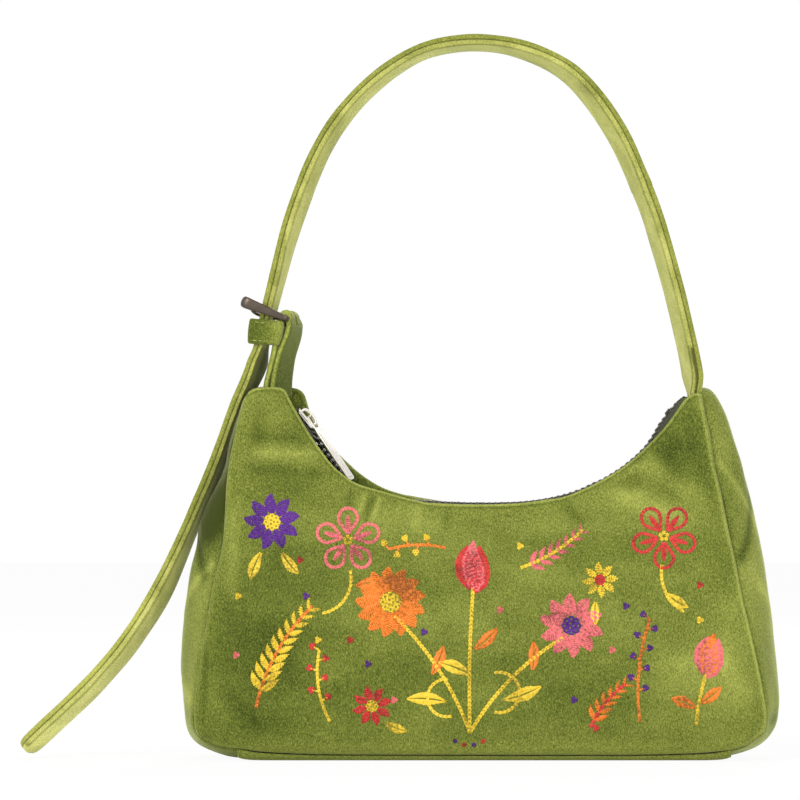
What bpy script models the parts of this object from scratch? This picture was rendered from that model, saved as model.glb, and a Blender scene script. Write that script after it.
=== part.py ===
"""Velvet mini bag: a small top-handle bag with two horns, a curved zip and a buckled strap.

Metres, +Z up. The bag stands on its base: the origin is the middle of the base's underside, X runs
along the bag and the front faces -Y. Outlines are drawn in pixels of a square-on picture of the
front, and PX is the length of one pixel.
"""
import math

import bmesh
import bpy
import numpy as np
from mathutils import Matrix, Vector

# Drawing scale
PX = 0.00044
AXIS_PX = 480.0
FLOOR_PX = 757.5

# Cloth, foam and board
PANEL_T = 0.0020
GUSSET_T = 0.0020
BASE_T = 0.0020
BOARD_T = 0.0020
FOAM_T = 0.0015
LINING_T = 0.0008
TAPE_T = 0.0009

# Clearances
TOUCH = 0.0003
FIT = 0.0004
SLACK = 0.0006

# Body depths, as half depths from the middle plane
HALF_DEPTH = 0.0300
ZIP_HALF_DEPTH = 0.0092
CROWN = 0.0035
CROWN_RISE = 0.0300
DEPTH_RISE = 0.0850
GUSSET_BULGE = 0.0115
LAP_RISE = 0.0006

# Strap, tab, keeper and buckle
STRAP_WIDTH = 0.0200
STRAP_LAYER_T = 0.0024
STRAP_DOME = 0.0005
STRAP_FLARE = math.radians(10)
SWING_Z = 0.1660
TAIL_CUT_RADIUS = 0.0147
KEEPER_WALL = 0.0014
BUCKLE_RAIL = 0.0026
BUCKLE_THIN = 0.0020
BUCKLE_THICK = 0.0040
HEEL_BAR = 0.0020
PRONG_RADIUS = 0.0007

# Zip
TOOTH_PITCH = 0.0028
TOOTH_LENGTH = 0.0014
TOOTH_THICKNESS = 0.0026
CHANNEL_HALF = 0.0006
TOOTH_ROOT = 0.0022
TOOTH_TAPER = 0.0002
CHAIN_HALF = 0.0030
TAPE_FLAT_HALF = 0.0054
TAPE_LAP = 0.0090
STOP_LENGTH = 0.0030
ZIP_START = math.radians(-55.0)
ZIP_END = math.radians(54.3)
SLIDER_REST = math.radians(-51.2)
SLIDER_LENGTH = 0.0115
SLIDER_PLATE = 0.0013
SLIDER_HALF_WIDTH = 0.0047
POST_LENGTH = 0.0030
POST_WIDTH = 0.0006
BRIDGE_HALF_LENGTH = 0.0031
BRIDGE_RADIUS = 0.0006
BRIDGE_TOP = 0.0089
PULLER_PIVOT = 0.0065
PULLER_LENGTH = 0.0380
PULLER_WIDTH = 0.0078
PULLER_T = 0.0012
PULLER_EYE_LENGTH = 0.0054
PULLER_EYE_WIDTH = 0.0050
PULLER_RIM = 0.0012
PULLER_TIP = (0.0340, -0.0085, 0.0066)
PULLER_ROLL = math.radians(38)

# Angles round the zip between which the body widens to take the strap's roots
HORN_FROM = math.radians(47)
HORN_TO = math.radians(58)

# How finely forms are divided
COLUMNS = 18
ROWS = 9
INNER_TOP_SHARE = 0.87
ARC_STEPS = 22
BASE_TURN = 2
DRUM_SIDES = 64

# Outlines of the front panel's seams
LEFT_SEAM_PX = [(208, 740), (196, 724), (195, 703), (200, 656), (208, 608), (211.5, 587),
                (218, 563), (222.6, 540), (225, 508), (225.8, 484), (228, 469), (232, 456),
                (236, 440), (240.5, 416), (244, 400), (249, 391)]
RIGHT_SEAM_PX = [(758, 739), (766, 730), (767, 719), (765.7, 699), (758, 659.5), (748, 617),
                 (743, 596), (736, 560.6), (728.6, 528), (720, 487), (714, 464), (708, 428.6),
                 (703.5, 405), (703.5, 393.5)]
BASE_SEAM_PX = [(208, 740), (222, 746.5), (238.6, 750), (259, 752.5), (300, 754.3), (345, 755),
                (400, 755.2), (480, 755.2), (574, 755.2), (649, 755), (711, 752.5), (743, 747),
                (758, 739)]
LEFT_HORN_PX = [(249, 391), (254, 388), (261, 387.2), (270, 387), (280.6, 388), (286, 393)]
RIGHT_HORN_PX = [(690, 396), (697, 393.5), (703.5, 393.5)]
ZIP_CENTRE_PX = (484.5, 276.0)
ZIP_RADIUS_PX = 232.85
SCOOP_DEGREES = [-57.5, -54, -51, -47.3, -43.8, -38, -32, -26, -21, -16.7, -12.6, -6.9, -1, 4.7,
                 10.4, 19, 23.9, 28.3, 33.6, 38.4, 43.3, 49.9, 56.5]
SCOOP_REVEAL_PX = [-2.2, -1.2, 0.7, 3.9, 7.1, 10.7, 11, 9, 7, 5.5, 4.5, 3.5, 3, 3.5, 4.5, 6.5, 7.5,
                   8, 8, 7.5, 6.5, 4, 1.5]

# Route of the strap's middle: loop, then the tail below the keeper
STRAP_LOOP_PX = [(690.5, 403.5), (690.5, 380), (689, 360), (683.5, 330), (676.5, 300), (668.5, 270),
                 (660, 240), (650.5, 210), (638.5, 180), (625.5, 150), (609, 120), (586.5, 90),
                 (562, 68), (520, 50), (475, 44.5), (430, 50), (394, 68), (366, 90), (340, 120),
                 (321.5, 150), (308, 180), (297, 210), (287.5, 240), (279.5, 270), (272.5, 298),
                 (267.6, 317), (263.6, 332), (260, 345), (257, 353), (252, 365), (249, 373)]
STRAP_TAIL_PX = [(263.6, 332), (260, 345), (257, 353), (252, 365), (246, 380), (240, 396),
                 (235.2, 408), (227.6, 430), (221.8, 448), (216, 465), (209.3, 484), (202, 502),
                 (193.5, 524),
                 (182.5, 548), (171, 572), (158.5, 596), (144, 620), (127, 644), (107, 668),
                 (84.5, 692), (60, 716), (33, 741)]
TAB_PX = [(271, 403), (271.2, 388), (272.4, 366), (273.6, 351), (275.6, 336), (279, 326)]
TAB_RETURN_PX = [(293.4, 326), (291.4, 336), (287.6, 347), (281.6, 358), (278.9, 370), (277.4, 388),
                 (277.2, 403)]
HEEL_PX = (287.0, 319.0)
TOE_PX = (244.5, 302.0)
KEEPER_OUT_PX = [(248.6, 345.5), (254.4, 321.5), (286.8, 325), (281.6, 345.5)]
PRONG_PX = [(280, 318.8), (270, 317.6), (261, 315.6), (254.5, 312.6), (251.5, 309.2)]

# Body depth up the side seams: share of the height, share of the step from horn to full depth
DEPTH_SHARES = [(0.0, 0.95), (0.12, 1.0), (0.25, 1.0), (0.45, 0.88), (0.65, 0.58), (0.82, 0.26),
                (0.93, 0.06), (1.0, 0.0)]
# Outward bulge of the gussets up the side seams
LEFT_BULGE_SHARES = [(0.0, 0.2), (0.08, 0.26), (0.15, 0.42), (0.27, 0.7), (0.4, 0.87), (0.59, 0.87),
                     (0.69, 0.35), (0.75, 0.05), (1.0, 0.0)]
RIGHT_BULGE_SHARES = [(0.0, 0.2), (0.1, 0.35), (0.16, 0.45), (0.27, 0.65), (0.38, 0.87), (0.53, 1.0),
                      (0.75, 1.0), (0.89, 0.77), (0.98, 0.42), (1.0, 0.35)]
# Places across a sheet, as shares of its half width
GUSSET_WIDTH_SHARES = [-1, -0.66, -0.33, 0, 0.33, 0.66, 1]
STRAP_WIDTH_SHARES = [-1, -0.55, 0, 0.55, 1]
# Roundings, as shares of the thing they round
BRIDGE_ROUND_SHARE = 0.8
TIP_ROUND_SHARE = 0.6

GREEN = (0.21, 0.24, 0.035, 1)
DEEP_GREEN = (0.12, 0.16, 0.03, 1)
LIGHT_GREEN = (0.34, 0.36, 0.08, 1)
LINING = (0.42, 0.38, 0.27, 1)
CREAM = (0.75, 0.72, 0.65, 1)
BOARD = (0.30, 0.27, 0.22, 1)
TAPE = (0.10, 0.11, 0.06, 1)
GUNMETAL = (0.10, 0.095, 0.085, 1)
PEWTER = (0.20, 0.17, 0.15, 1)
SILVER = (0.68, 0.66, 0.60, 1)


def from_px(point):
    return np.array([(point[0] - AXIS_PX) * PX, (FLOOR_PX - point[1]) * PX])


ZIP_CENTRE = from_px(ZIP_CENTRE_PX)
ZIP_RADIUS = ZIP_RADIUS_PX * PX
BODY_TOP = from_px(LEFT_HORN_PX[3])[1]
HORN_HALF_DEPTH = STRAP_WIDTH / 2 + SLACK + PANEL_T + FIT
STRAP_HALF = STRAP_WIDTH / 2
HEEL = from_px(HEEL_PX)
TOE = from_px(TOE_PX)
EDGE = GUSSET_T + FIT
HEEL_RADIUS = math.hypot(HEEL_BAR, BUCKLE_THIN) / 2
KEEPER_X = float(from_px(KEEPER_OUT_PX[0])[0])
SIDE_MIDDLE = float(from_px(((LEFT_SEAM_PX[2][0] + RIGHT_SEAM_PX[2][0]) / 2, 0))[0])
SIDE_HALF = (RIGHT_SEAM_PX[2][0] - LEFT_SEAM_PX[2][0]) / 2 * PX + EDGE


# Smooth helpers
def table(pairs, value):
    return float(np.interp(value, [p[0] for p in pairs], [p[1] for p in pairs]))


def ease(value):
    value = min(max(value, 0.0), 1.0)
    return value * value * (3 - 2 * value)


def saturate(value):
    return 1 - (1 - min(max(value, 0.0), 1.0)) ** 2


class Route:
    """A smooth curve in the XZ plane through pixel points, measured by its length."""

    def __init__(self, points_px, samples=16):
        pts = [from_px(p) for p in points_px]
        pts = [2 * pts[0] - pts[1]] + pts + [2 * pts[-1] - pts[-2]]
        dense = []
        for a, b, c, d in zip(pts, pts[1:], pts[2:], pts[3:]):
            for k in range(samples):
                t = k / samples
                dense.append(0.5 * (2 * b + (c - a) * t + (2 * a - 5 * b + 4 * c - d) * t * t
                                    + (3 * b - a - 3 * c + d) * t ** 3))
        dense.append(pts[-2])
        self.points = np.array(dense)
        steps = np.hypot(*np.diff(self.points, axis=0).T)
        self.lengths = np.concatenate([[0.0], np.cumsum(steps)])
        self.length = self.lengths[-1]

    def at(self, s):
        return np.array([np.interp(s, self.lengths, self.points[:, k]) for k in (0, 1)])

    def tangent(self, s):
        step = self.length / 400
        d = self.at(min(s + step, self.length)) - self.at(max(s - step, 0.0))
        return d / np.hypot(*d)

    def where_z(self, z, first=True):
        """The length at which the route passes the height z."""
        hits = np.nonzero(np.diff(np.sign(self.points[:, 1] - z)))[0]
        k = hits[0] if first else hits[-1]
        z0, z1 = self.points[k, 1], self.points[k + 1, 1]
        return self.lengths[k] + (self.lengths[k + 1] - self.lengths[k]) * (z - z0) / (z1 - z0)


# Scene and objects
def clear_scene():
    for old in list(bpy.data.objects):
        bpy.data.objects.remove(old, do_unlink=True)
    for old in list(bpy.data.collections):
        bpy.data.collections.remove(old)


def new_collection(name):
    collection = bpy.data.collections.new(name)
    bpy.context.scene.collection.children.link(collection)
    return collection


def material(name, colour, roughness, metallic=0.0):
    mat = bpy.data.materials.get(name)
    if mat is None:
        mat = bpy.data.materials.new(name)
        mat.use_nodes = True
        shader = mat.node_tree.nodes["Principled BSDF"]
        shader.inputs["Base Color"].default_value = colour
        shader.inputs["Roughness"].default_value = roughness
        shader.inputs["Metallic"].default_value = metallic
        mat.diffuse_color = colour
    return mat


def place(obj, finish, parent=None):
    """Puts a part in the bag's collection with its material, and moves its origin onto its joint."""
    PARTS.objects.link(obj)
    obj.data.materials.clear()
    obj.data.materials.append(material(*finish))
    if parent is not None:
        obj.data.transform(parent.matrix_world.inverted() @ obj.matrix_world)
        obj.matrix_basis = Matrix()
        obj.parent = parent
    return obj


def joint_empty(name, location, parent=None):
    empty = bpy.data.objects.new(name, None)
    empty.empty_display_size = STRAP_WIDTH
    empty.parent = parent
    inverse = parent.matrix_world.inverted() if parent else Matrix()
    empty.location = inverse @ Vector(location)
    PARTS.objects.link(empty)
    bpy.context.view_layer.update()
    return empty


def sheet(name, across, along, point, thickness, facing, keep=None, offset=-1.0):
    """A grid whose vertices go to point(i, j), thickened by Solidify away from the facing side."""
    mesh = bpy.data.meshes.new(name)
    bm = bmesh.new()
    bmesh.ops.create_grid(bm, x_segments=across, y_segments=along, size=0.5)
    index = {}
    for vert in bm.verts:
        i = round((vert.co.x + 0.5) * across)
        j = round((vert.co.y + 0.5) * along)
        index[vert] = (i, j)
    if keep is not None:
        drop = [f for f in bm.faces if not keep(min(index[v][0] for v in f.verts),
                                                min(index[v][1] for v in f.verts))]
        bmesh.ops.delete(bm, geom=drop, context="FACES")
    for vert in bm.verts:
        vert.co = Vector(point(*index[vert]))
    bm.normal_update()
    if sum((f.normal.dot(Vector(facing)) * f.calc_area() for f in bm.faces)) < 0:
        bmesh.ops.reverse_faces(bm, faces=bm.faces[:])
    bm.to_mesh(mesh)
    bm.free()
    mesh.shade_smooth()
    obj = bpy.data.objects.new(name, mesh)
    solid = obj.modifiers.new("thickness", "SOLIDIFY")
    solid.thickness = thickness
    solid.offset = offset
    solid.use_even_offset = True
    return obj


def block(name, size, matrix, bevel=0.0, segments=1):
    """A cube primitive of a given size, bevelled, placed by a matrix."""
    mesh = bpy.data.meshes.new(name)
    bm = bmesh.new()
    bmesh.ops.create_cube(bm, size=1.0)
    bmesh.ops.scale(bm, vec=Vector(size), verts=bm.verts)
    if bevel:
        bmesh.ops.bevel(bm, geom=bm.edges[:], offset=bevel, segments=segments, affect="EDGES",
                        profile=0.5)
    bm.to_mesh(mesh)
    bm.free()
    obj = bpy.data.objects.new(name, mesh)
    obj.matrix_world = matrix
    return obj


def prism(name, outline, half_depth):
    """A flat outline in the XZ plane, extruded both ways along Y: a 2D curve made a mesh."""
    curve = bpy.data.curves.new(name + "_outline", "CURVE")
    curve.dimensions = "2D"
    curve.fill_mode = "BOTH"
    curve.extrude = half_depth
    for ring in outline:
        spline = curve.splines.new("POLY")
        spline.points.add(len(ring) - 1)
        for dot, (x, z) in zip(spline.points, ring):
            dot.co = (x, z, 0, 1)
        spline.use_cyclic_u = True
    obj = bpy.data.objects.new(name, curve)
    obj.matrix_world = Matrix.Rotation(math.pi / 2, 4, "X")
    return as_mesh(obj)


def as_mesh(obj):
    """Turns a curve object into a welded mesh object in the same place."""
    PARTS.objects.link(obj)
    bpy.context.view_layer.update()
    evaluated = obj.evaluated_get(bpy.context.evaluated_depsgraph_get())
    mesh = bpy.data.meshes.new_from_object(evaluated)
    bm = bmesh.new()
    bm.from_mesh(mesh)
    bmesh.ops.remove_doubles(bm, verts=bm.verts, dist=TOUCH / 100)
    bmesh.ops.recalc_face_normals(bm, faces=bm.faces)
    bm.to_mesh(mesh)
    bm.free()
    matrix, name = obj.matrix_world.copy(), obj.name
    bpy.data.objects.remove(obj, do_unlink=True)
    made = bpy.data.objects.new(name, mesh)
    made.matrix_world = matrix
    return made


def wire(name, points, radius, resolution=2):
    """A round wire through points, with filled caps."""
    curve = bpy.data.curves.new(name, "CURVE")
    curve.dimensions = "3D"
    curve.bevel_depth = radius
    curve.bevel_resolution = resolution
    curve.use_fill_caps = True
    curve.twist_mode = "MINIMUM"
    spline = curve.splines.new("POLY")
    spline.points.add(len(points) - 1)
    for dot, co in zip(spline.points, points):
        dot.co = (*co, 1)
    return bpy.data.objects.new(name, curve)


def cut(obj, tool, operation="DIFFERENCE"):
    """Adds a Boolean with a tool that is kept, out of sight, in the cutters' collection."""
    CUTTERS.objects.link(tool)
    tool.hide_render = True
    tool.display_type = "WIRE"
    if obj.parent is not None:
        tool.data.transform(obj.parent.matrix_world.inverted() @ tool.matrix_world)
        tool.matrix_basis = Matrix()
        tool.parent = obj.parent
    boolean = obj.modifiers.new(operation.lower(), "BOOLEAN")
    boolean.operation = operation
    boolean.object = tool
    boolean.solver = "EXACT"
    return obj


# The body's outer surface
def side_depth(z):
    """Half depth of the side seams at the height z."""
    share = table(DEPTH_SHARES, z / BODY_TOP)
    return HORN_HALF_DEPTH + (HALF_DEPTH - CROWN - HORN_HALF_DEPTH) * share


def half_depth(x, z):
    """Half depth of the body above the point x, z of its middle plane."""
    dx, dz = x - ZIP_CENTRE[0], ZIP_CENTRE[1] - z
    away = math.hypot(dx, dz) - ZIP_RADIUS
    angle = abs(math.atan2(dx, max(dz, TOUCH)))
    at_zip = ZIP_HALF_DEPTH + (HORN_HALF_DEPTH - ZIP_HALF_DEPTH) * ease(
        (angle - HORN_FROM) / (HORN_TO - HORN_FROM))
    depth = at_zip + (side_depth(z) - at_zip) * saturate(away / DEPTH_RISE)
    side = abs(x - SIDE_MIDDLE) / SIDE_HALF
    crown = CROWN * ease(away / CROWN_RISE) * saturate(z / CROWN_RISE) * saturate(
        (1 - side) * SIDE_HALF / CROWN_RISE)
    return depth + crown


def skin(x, z, depth=0.0):
    """The front's outer surface at x, z, moved inward along its normal by depth."""
    step = SLACK
    slope_x = (half_depth(x + step, z) - half_depth(x - step, z)) / (2 * step)
    slope_z = (half_depth(x, z + step) - half_depth(x, z - step)) / (2 * step)
    normal = Vector((-slope_x, -1.0, -slope_z)).normalized()
    return Vector((x, -half_depth(x, z), z)) - normal * depth


def scoop_point(angle, below=0.0):
    """The front panel's edge at an angle round the zip's centre, in the XZ plane."""
    reveal = np.interp(math.degrees(angle), SCOOP_DEGREES, SCOOP_REVEAL_PX) * PX
    radius = ZIP_RADIUS + reveal + below
    return ZIP_CENTRE + radius * np.array([math.sin(angle), -math.cos(angle)])


def to_px(point):
    return (point[0] / PX + AXIS_PX, FLOOR_PX - point[1] / PX)


def panel_plan():
    """The panel's grid in the XZ plane: an outline, a line just inside it, and a blend between."""
    scoop = [to_px(scoop_point(a)) for a in np.linspace(math.radians(SCOOP_DEGREES[0]),
                                                        math.radians(SCOOP_DEGREES[-1]), 19)]
    edges = {"left": Route(LEFT_SEAM_PX), "right": Route(RIGHT_SEAM_PX), "base": Route(BASE_SEAM_PX),
             "top": Route(LEFT_HORN_PX + scoop + RIGHT_HORN_PX)}

    def along(name, share):
        return edges[name].at(share * edges[name].length)

    def coons(u, v):
        left, right, base, top = along("left", v), along("right", v), along("base", u), along("top", u)
        corner = ((1 - u) * (1 - v) * along("base", 0) + u * (1 - v) * along("base", 1)
                  + (1 - u) * v * along("top", 0) + u * v * along("top", 1))
        return (1 - u) * left + u * right + (1 - v) * base + v * top - corner

    def inward(name, share):
        t = edges[name].tangent(share * edges[name].length)
        side = {"left": (t[1], -t[0]), "right": (-t[1], t[0]), "base": (-t[1], t[0])}[name]
        return np.array(side)

    us = [0.0, None] + [k / COLUMNS for k in range(1, COLUMNS)] + [None, 1.0]
    vs = ([0.0, None] + [INNER_TOP_SHARE * k / (ROWS - 1) for k in range(1, ROWS)] + [1.0])
    floor = BASE_T + BOARD_T + 2 * TOUCH

    def raised(point):
        return np.array([point[0], max(floor, point[1] + EDGE)])

    plan = {}
    for i, u in enumerate(us):
        for j, v in enumerate(vs):
            side = "left" if i <= 1 else "right"
            at_u = (0.0 if i <= 1 else 1.0) if u is None else u
            if v is None:
                if u is None or u in (0.0, 1.0):
                    seam = edges[side]
                    step = seam.where_z(max(floor, along("base", at_u)[1] + EDGE)) / seam.length
                    point = along(side, step) + (inward(side, step) * EDGE if u is None else 0)
                else:
                    point = raised(along("base", at_u))
            elif u is None:
                point = (coons(at_u, v) + inward(side, v) * EDGE) if v else (
                    along("base", EDGE / edges["base"].length) if i <= 1
                    else along("base", 1 - EDGE / edges["base"].length))
            else:
                point = coons(u, v)
            plan[i, j] = point
    return plan, len(us) - 1, len(vs) - 1, edges


def panel_sheet(name, depth, thickness, face, finish, inner=False):
    """One layer of the front (face -1) or back (face 1): outer panel, foam or lining."""
    first, last_row = (1, PLAN_ROWS - 1) if inner else (0, PLAN_ROWS)

    def point(i, j):
        x, z = PLAN[i + first, j + first]
        co = skin(x, z, depth)
        return (co.x, co.y * -face, co.z)

    across = PLAN_COLUMNS - 2 * first
    obj = sheet(name, across, last_row - first, point, thickness, (0, face, 0))
    return place(obj, finish)


def band_line(side, inner):
    """Points up a side seam from the base seam, as the gusset (or its lining) runs."""
    k = 1 if inner else 0
    column = k if side < 0 else PLAN_COLUMNS - k
    step = 1 if side < 0 else -1
    top = PLAN_ROWS - 1 if inner else PLAN_ROWS
    turn = 0 if inner else BASE_TURN
    base = [PLAN[column + step * n, k] for n in range(turn, 0, -1)]
    return base + [PLAN[column, j] for j in range(k, top + 1)]


def gusset(name, side, finish):
    """The side wall between the panels, from the base up over the horn, bulging a little."""
    line = band_line(side, False)
    strap_face = (from_px(TAB_PX[0])[0] - STRAP_LAYER_T / 2 if side < 0
                  else from_px(STRAP_LOOP_PX[0])[0] + STRAP_LAYER_T + TOUCH + STRAP_DOME)
    line = line + [np.array([strap_face + side * SLACK, line[-1][1] + LAP_RISE])]
    shares = LEFT_BULGE_SHARES if side < 0 else RIGHT_BULGE_SHARES
    widths = GUSSET_WIDTH_SHARES

    def point(i, j):
        x, z = line[j]
        before, after = line[max(j - 1, 0)], line[min(j + 1, len(line) - 1)]
        run = np.array(after) - np.array(before)
        run = run / np.hypot(*run)
        out = np.array([run[1], -run[0]]) * side
        clear = half_depth(x, z) - PANEL_T - FIT
        puff = GUSSET_BULGE * table(shares, z / BODY_TOP) * (1 - widths[i] ** 2)
        x, z = x + out[0] * puff, max(z + out[1] * puff, TOUCH)
        return (x, clear * widths[i], z)

    obj = sheet(name, len(widths) - 1, len(line) - 1, point, GUSSET_T, (side, 0, 0))
    return place(obj, finish)


def lining_band(finish):
    """One strip of lining: down inside one gusset, over the base board and up the other."""
    left, right = band_line(-1, True), band_line(1, True)
    base = [PLAN[i, 1] for i in range(2, PLAN_COLUMNS - 1)]
    line = left[::-1] + base + right
    stack = PANEL_T + FOAM_T + LINING_T + 3 * FIT
    widths = [-1, 0, 1]

    def point(i, j):
        x, z = line[j]
        return ((x, (half_depth(x, z) - stack - FIT) * widths[i], z))

    obj = sheet("lining_band", 2, len(line) - 1, point, LINING_T, (0, 0, -1))
    return place(obj, finish)


# Zip
def arc_point(angle, y, height=0.0):
    """A point on the zip's cylinder, height being towards its centre."""
    radius = ZIP_RADIUS - height
    return Vector((ZIP_CENTRE[0] + radius * math.sin(angle), y,
                   ZIP_CENTRE[1] - radius * math.cos(angle)))


def zip_tape(name, face, finish):
    """Flat beside the teeth, then sloping down to lap the inside of the panel's edge."""
    angles = np.linspace(ZIP_START, ZIP_END, ARC_STEPS + 1)
    start = CHAIN_HALF + TOUCH

    def point(i, j):
        a = angles[j]
        if i < 2:
            co = arc_point(a, -(start, TAPE_FLAT_HALF)[i], TAPE_T / 2)
        else:
            reach = (SLACK, TAPE_LAP)[i - 2]
            x, z = scoop_point(a, reach)
            co = skin(x, z, PANEL_T + FIT + TOUCH)
        return (co.x, co.y * -face, co.z)

    obj = sheet(name, 3, ARC_STEPS, point, TAPE_T, (0, face, 1))
    return place(obj, finish)


def tooth_row(name, face, finish):
    """A row of teeth on their bead: a grid with every other cell of its inner strip removed."""
    run = (ZIP_END - ZIP_START) * ZIP_RADIUS - 2 * (STOP_LENGTH + TOUCH)
    count = int(run / TOOTH_PITCH)
    first = ZIP_START + (STOP_LENGTH + TOUCH) / ZIP_RADIUS
    offset = TOOTH_PITCH / 2 if face > 0 else 0.0
    half_gap = (TOOTH_PITCH - TOOTH_LENGTH) / 2
    ys = [CHANNEL_HALF, TOOTH_ROOT, CHAIN_HALF]

    def point(i, j):
        tooth, end = divmod(j, 2)
        s = tooth * TOOTH_PITCH + (half_gap + TOOTH_LENGTH if end else half_gap) + offset / 2
        if i == 0:
            s += TOOTH_TAPER * (-1 if end else 1)
        a = first + s / ZIP_RADIUS
        co = arc_point(a, ys[i] * face, TOOTH_THICKNESS / 2)
        return co

    obj = sheet(name, 2, 2 * count - 1, point, TOOTH_THICKNESS, (0, 0, 1),
                keep=lambda i, j: i > 0 or j % 2 == 0)
    return place(obj, finish)


def slider_frame(angle):
    """Axes at the slider: X along the zip, Y across, Z towards the zip's centre."""
    along = Vector((math.cos(angle), 0, math.sin(angle)))
    up = Vector((-math.sin(angle), 0, math.cos(angle)))
    matrix = Matrix.Identity(4)
    for row in range(3):
        matrix[row][0] = along[row]
        matrix[row][1] = (0, 1, 0)[row]
        matrix[row][2] = up[row]
        matrix[row][3] = arc_point(angle, 0)[row]
    return matrix


def shifted(matrix, x=0.0, y=0.0, z=0.0):
    return matrix @ Matrix.Translation((x, y, z))


def build_slider(axis, finish):
    frame = slider_frame(SLIDER_REST)
    tunnel = TOOTH_THICKNESS / 2 + FIT
    half_height = tunnel + SLIDER_PLATE
    body = block("zip_slider", (SLIDER_LENGTH, 2 * SLIDER_HALF_WIDTH, 2 * half_height), frame,
                 bevel=SLIDER_PLATE / 3, segments=1)
    place(body, finish, axis)
    overrun = 2 * SLIDER_LENGTH
    cut(body, block("slider_tunnel", (overrun, 2 * (CHAIN_HALF + TOUCH), 2 * tunnel), frame))
    cut(body, block("slider_slots", (overrun, overrun, TAPE_T + 2 * FIT), frame))
    post = block("slider_post", (POST_LENGTH, POST_WIDTH, 2 * tunnel + SLIDER_PLATE),
                 shifted(frame, x=-(SLIDER_LENGTH - POST_LENGTH) / 2 + SLIDER_PLATE))
    cut(body, post, "UNION")
    top = half_height + TOUCH
    arch = [(-BRIDGE_HALF_LENGTH, top)]
    rise = BRIDGE_TOP - BRIDGE_HALF_LENGTH * BRIDGE_ROUND_SHARE
    for k in range(7):
        turn = math.pi * k / 6
        arch.append((-BRIDGE_HALF_LENGTH * math.cos(turn),
                     rise + BRIDGE_HALF_LENGTH * BRIDGE_ROUND_SHARE * math.sin(turn)))
    arch.append((BRIDGE_HALF_LENGTH, top))
    bridge = as_mesh(wire("slider_bridge", [frame @ Vector((x, 0, z)) for x, z in arch],
                          BRIDGE_RADIUS))
    bridge.data.shade_smooth()
    place(bridge, finish, axis)


def puller_frame():
    """Axes at the puller's pivot: X along the puller, Y its pivot, Z out of its upper face."""
    frame = slider_frame(SLIDER_REST)
    pivot = Vector((0, 0, PULLER_PIVOT))
    along = (Vector(PULLER_TIP) - pivot).normalized()
    width = Vector((0, math.cos(PULLER_ROLL), math.sin(PULLER_ROLL)))
    width = (width - along * width.dot(along)).normalized()
    up = along.cross(width)
    local = Matrix.Identity(4)
    for row in range(3):
        local[row][0], local[row][1], local[row][2] = along[row], width[row], up[row]
        local[row][3] = pivot[row]
    return frame @ local


def build_puller(axis, finish):
    half = PULLER_WIDTH / 2
    eye, rim = PULLER_EYE_WIDTH / 2, PULLER_RIM
    head = eye + rim
    start = -rim / 2
    end = PULLER_LENGTH + start
    neck = start + PULLER_EYE_LENGTH + 2 * rim

    def corner(cx, cy, radius, begin, count=4):
        return [(cx + radius * math.cos(begin + math.pi / 2 * k / count),
                 cy + radius * math.sin(begin + math.pi / 2 * k / count)) for k in range(count + 1)]

    soft = half / 2
    outer = (corner(start + rim, -head + rim, rim, math.pi, 3)
             + [(neck, -head), (neck + rim, -half)]
             + corner(end - soft, -half + soft, soft, -math.pi / 2)
             + corner(end - soft, half - soft, soft, 0)
             + [(neck + rim, half), (neck, head)]
             + corner(start + rim, head - rim, rim, math.pi / 2, 3))
    inner_start, inner_end = start + rim, start + rim + PULLER_EYE_LENGTH
    curl = eye / 2
    inner = (corner(inner_start + curl, -eye + curl, curl, math.pi, 3)
             + corner(inner_end - curl, -eye + curl, curl, -math.pi / 2, 3)
             + corner(inner_end - curl, eye - curl, curl, 0, 3)
             + corner(inner_start + curl, eye - curl, curl, math.pi / 2, 3))
    flat = prism("zip_puller", [outer, inner], PULLER_T / 2)
    flat.matrix_world = puller_frame() @ Matrix.Identity(4)
    place(flat, finish, axis)


def build_stops(finish):
    half = (CHAIN_HALF - CHANNEL_HALF) / 2
    for name, face in (("zip_top_stop_front", -1), ("zip_top_stop_back", 1)):
        frame = shifted(slider_frame(ZIP_START + STOP_LENGTH / 2 / ZIP_RADIUS),
                        y=face * (CHANNEL_HALF + half))
        place(block(name, (STOP_LENGTH, 2 * half, TOOTH_THICKNESS), frame, bevel=TAPE_T / 3), finish)
    frame = slider_frame(ZIP_END - STOP_LENGTH / 2 / ZIP_RADIUS)
    place(block("zip_bottom_stop", (STOP_LENGTH, 2 * CHAIN_HALF, TOOTH_THICKNESS), frame,
                bevel=TAPE_T / 3), finish)


# Strap
def strip(name, route, start, end, steps, offset, thickness, finish, parent, side, flare=None,
          dome=0.0, bend=None):
    """A flat strap along a route, whose start and end are lengths at each place across its width.

    A strap with a bend has three runs of stations: steps before it, in it and after it.
    """
    widths = STRAP_WIDTH_SHARES
    runs = [steps] if bend is None else steps
    count = sum(runs)

    def station(w, j):
        stops = [start(w)] + list(bend or ()) + [end(w)]
        for k, run in enumerate(runs):
            if j <= run:
                return stops[k] + (stops[k + 1] - stops[k]) * j / run
            j -= run

    def point(i, j):
        w = widths[i]
        s = station(w, j)
        x, z = route.at(s)
        t = route.tangent(s)
        out = Vector((t[1], 0, -t[0])) * side
        across = Vector((0, 1, 0))
        if flare is not None:
            turn = flare(s)
            across, out = (across * math.cos(turn) - out * math.sin(turn),
                           out * math.cos(turn) + across * math.sin(turn))
        lift = offset + dome * (1 - w * w)
        return Vector((x, 0, z)) + across * (w * STRAP_HALF) + out * lift

    obj = sheet(name, len(widths) - 1, count, point, thickness, (-1, 0, 0), offset=0.0)
    return place(obj, finish, parent)


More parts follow.
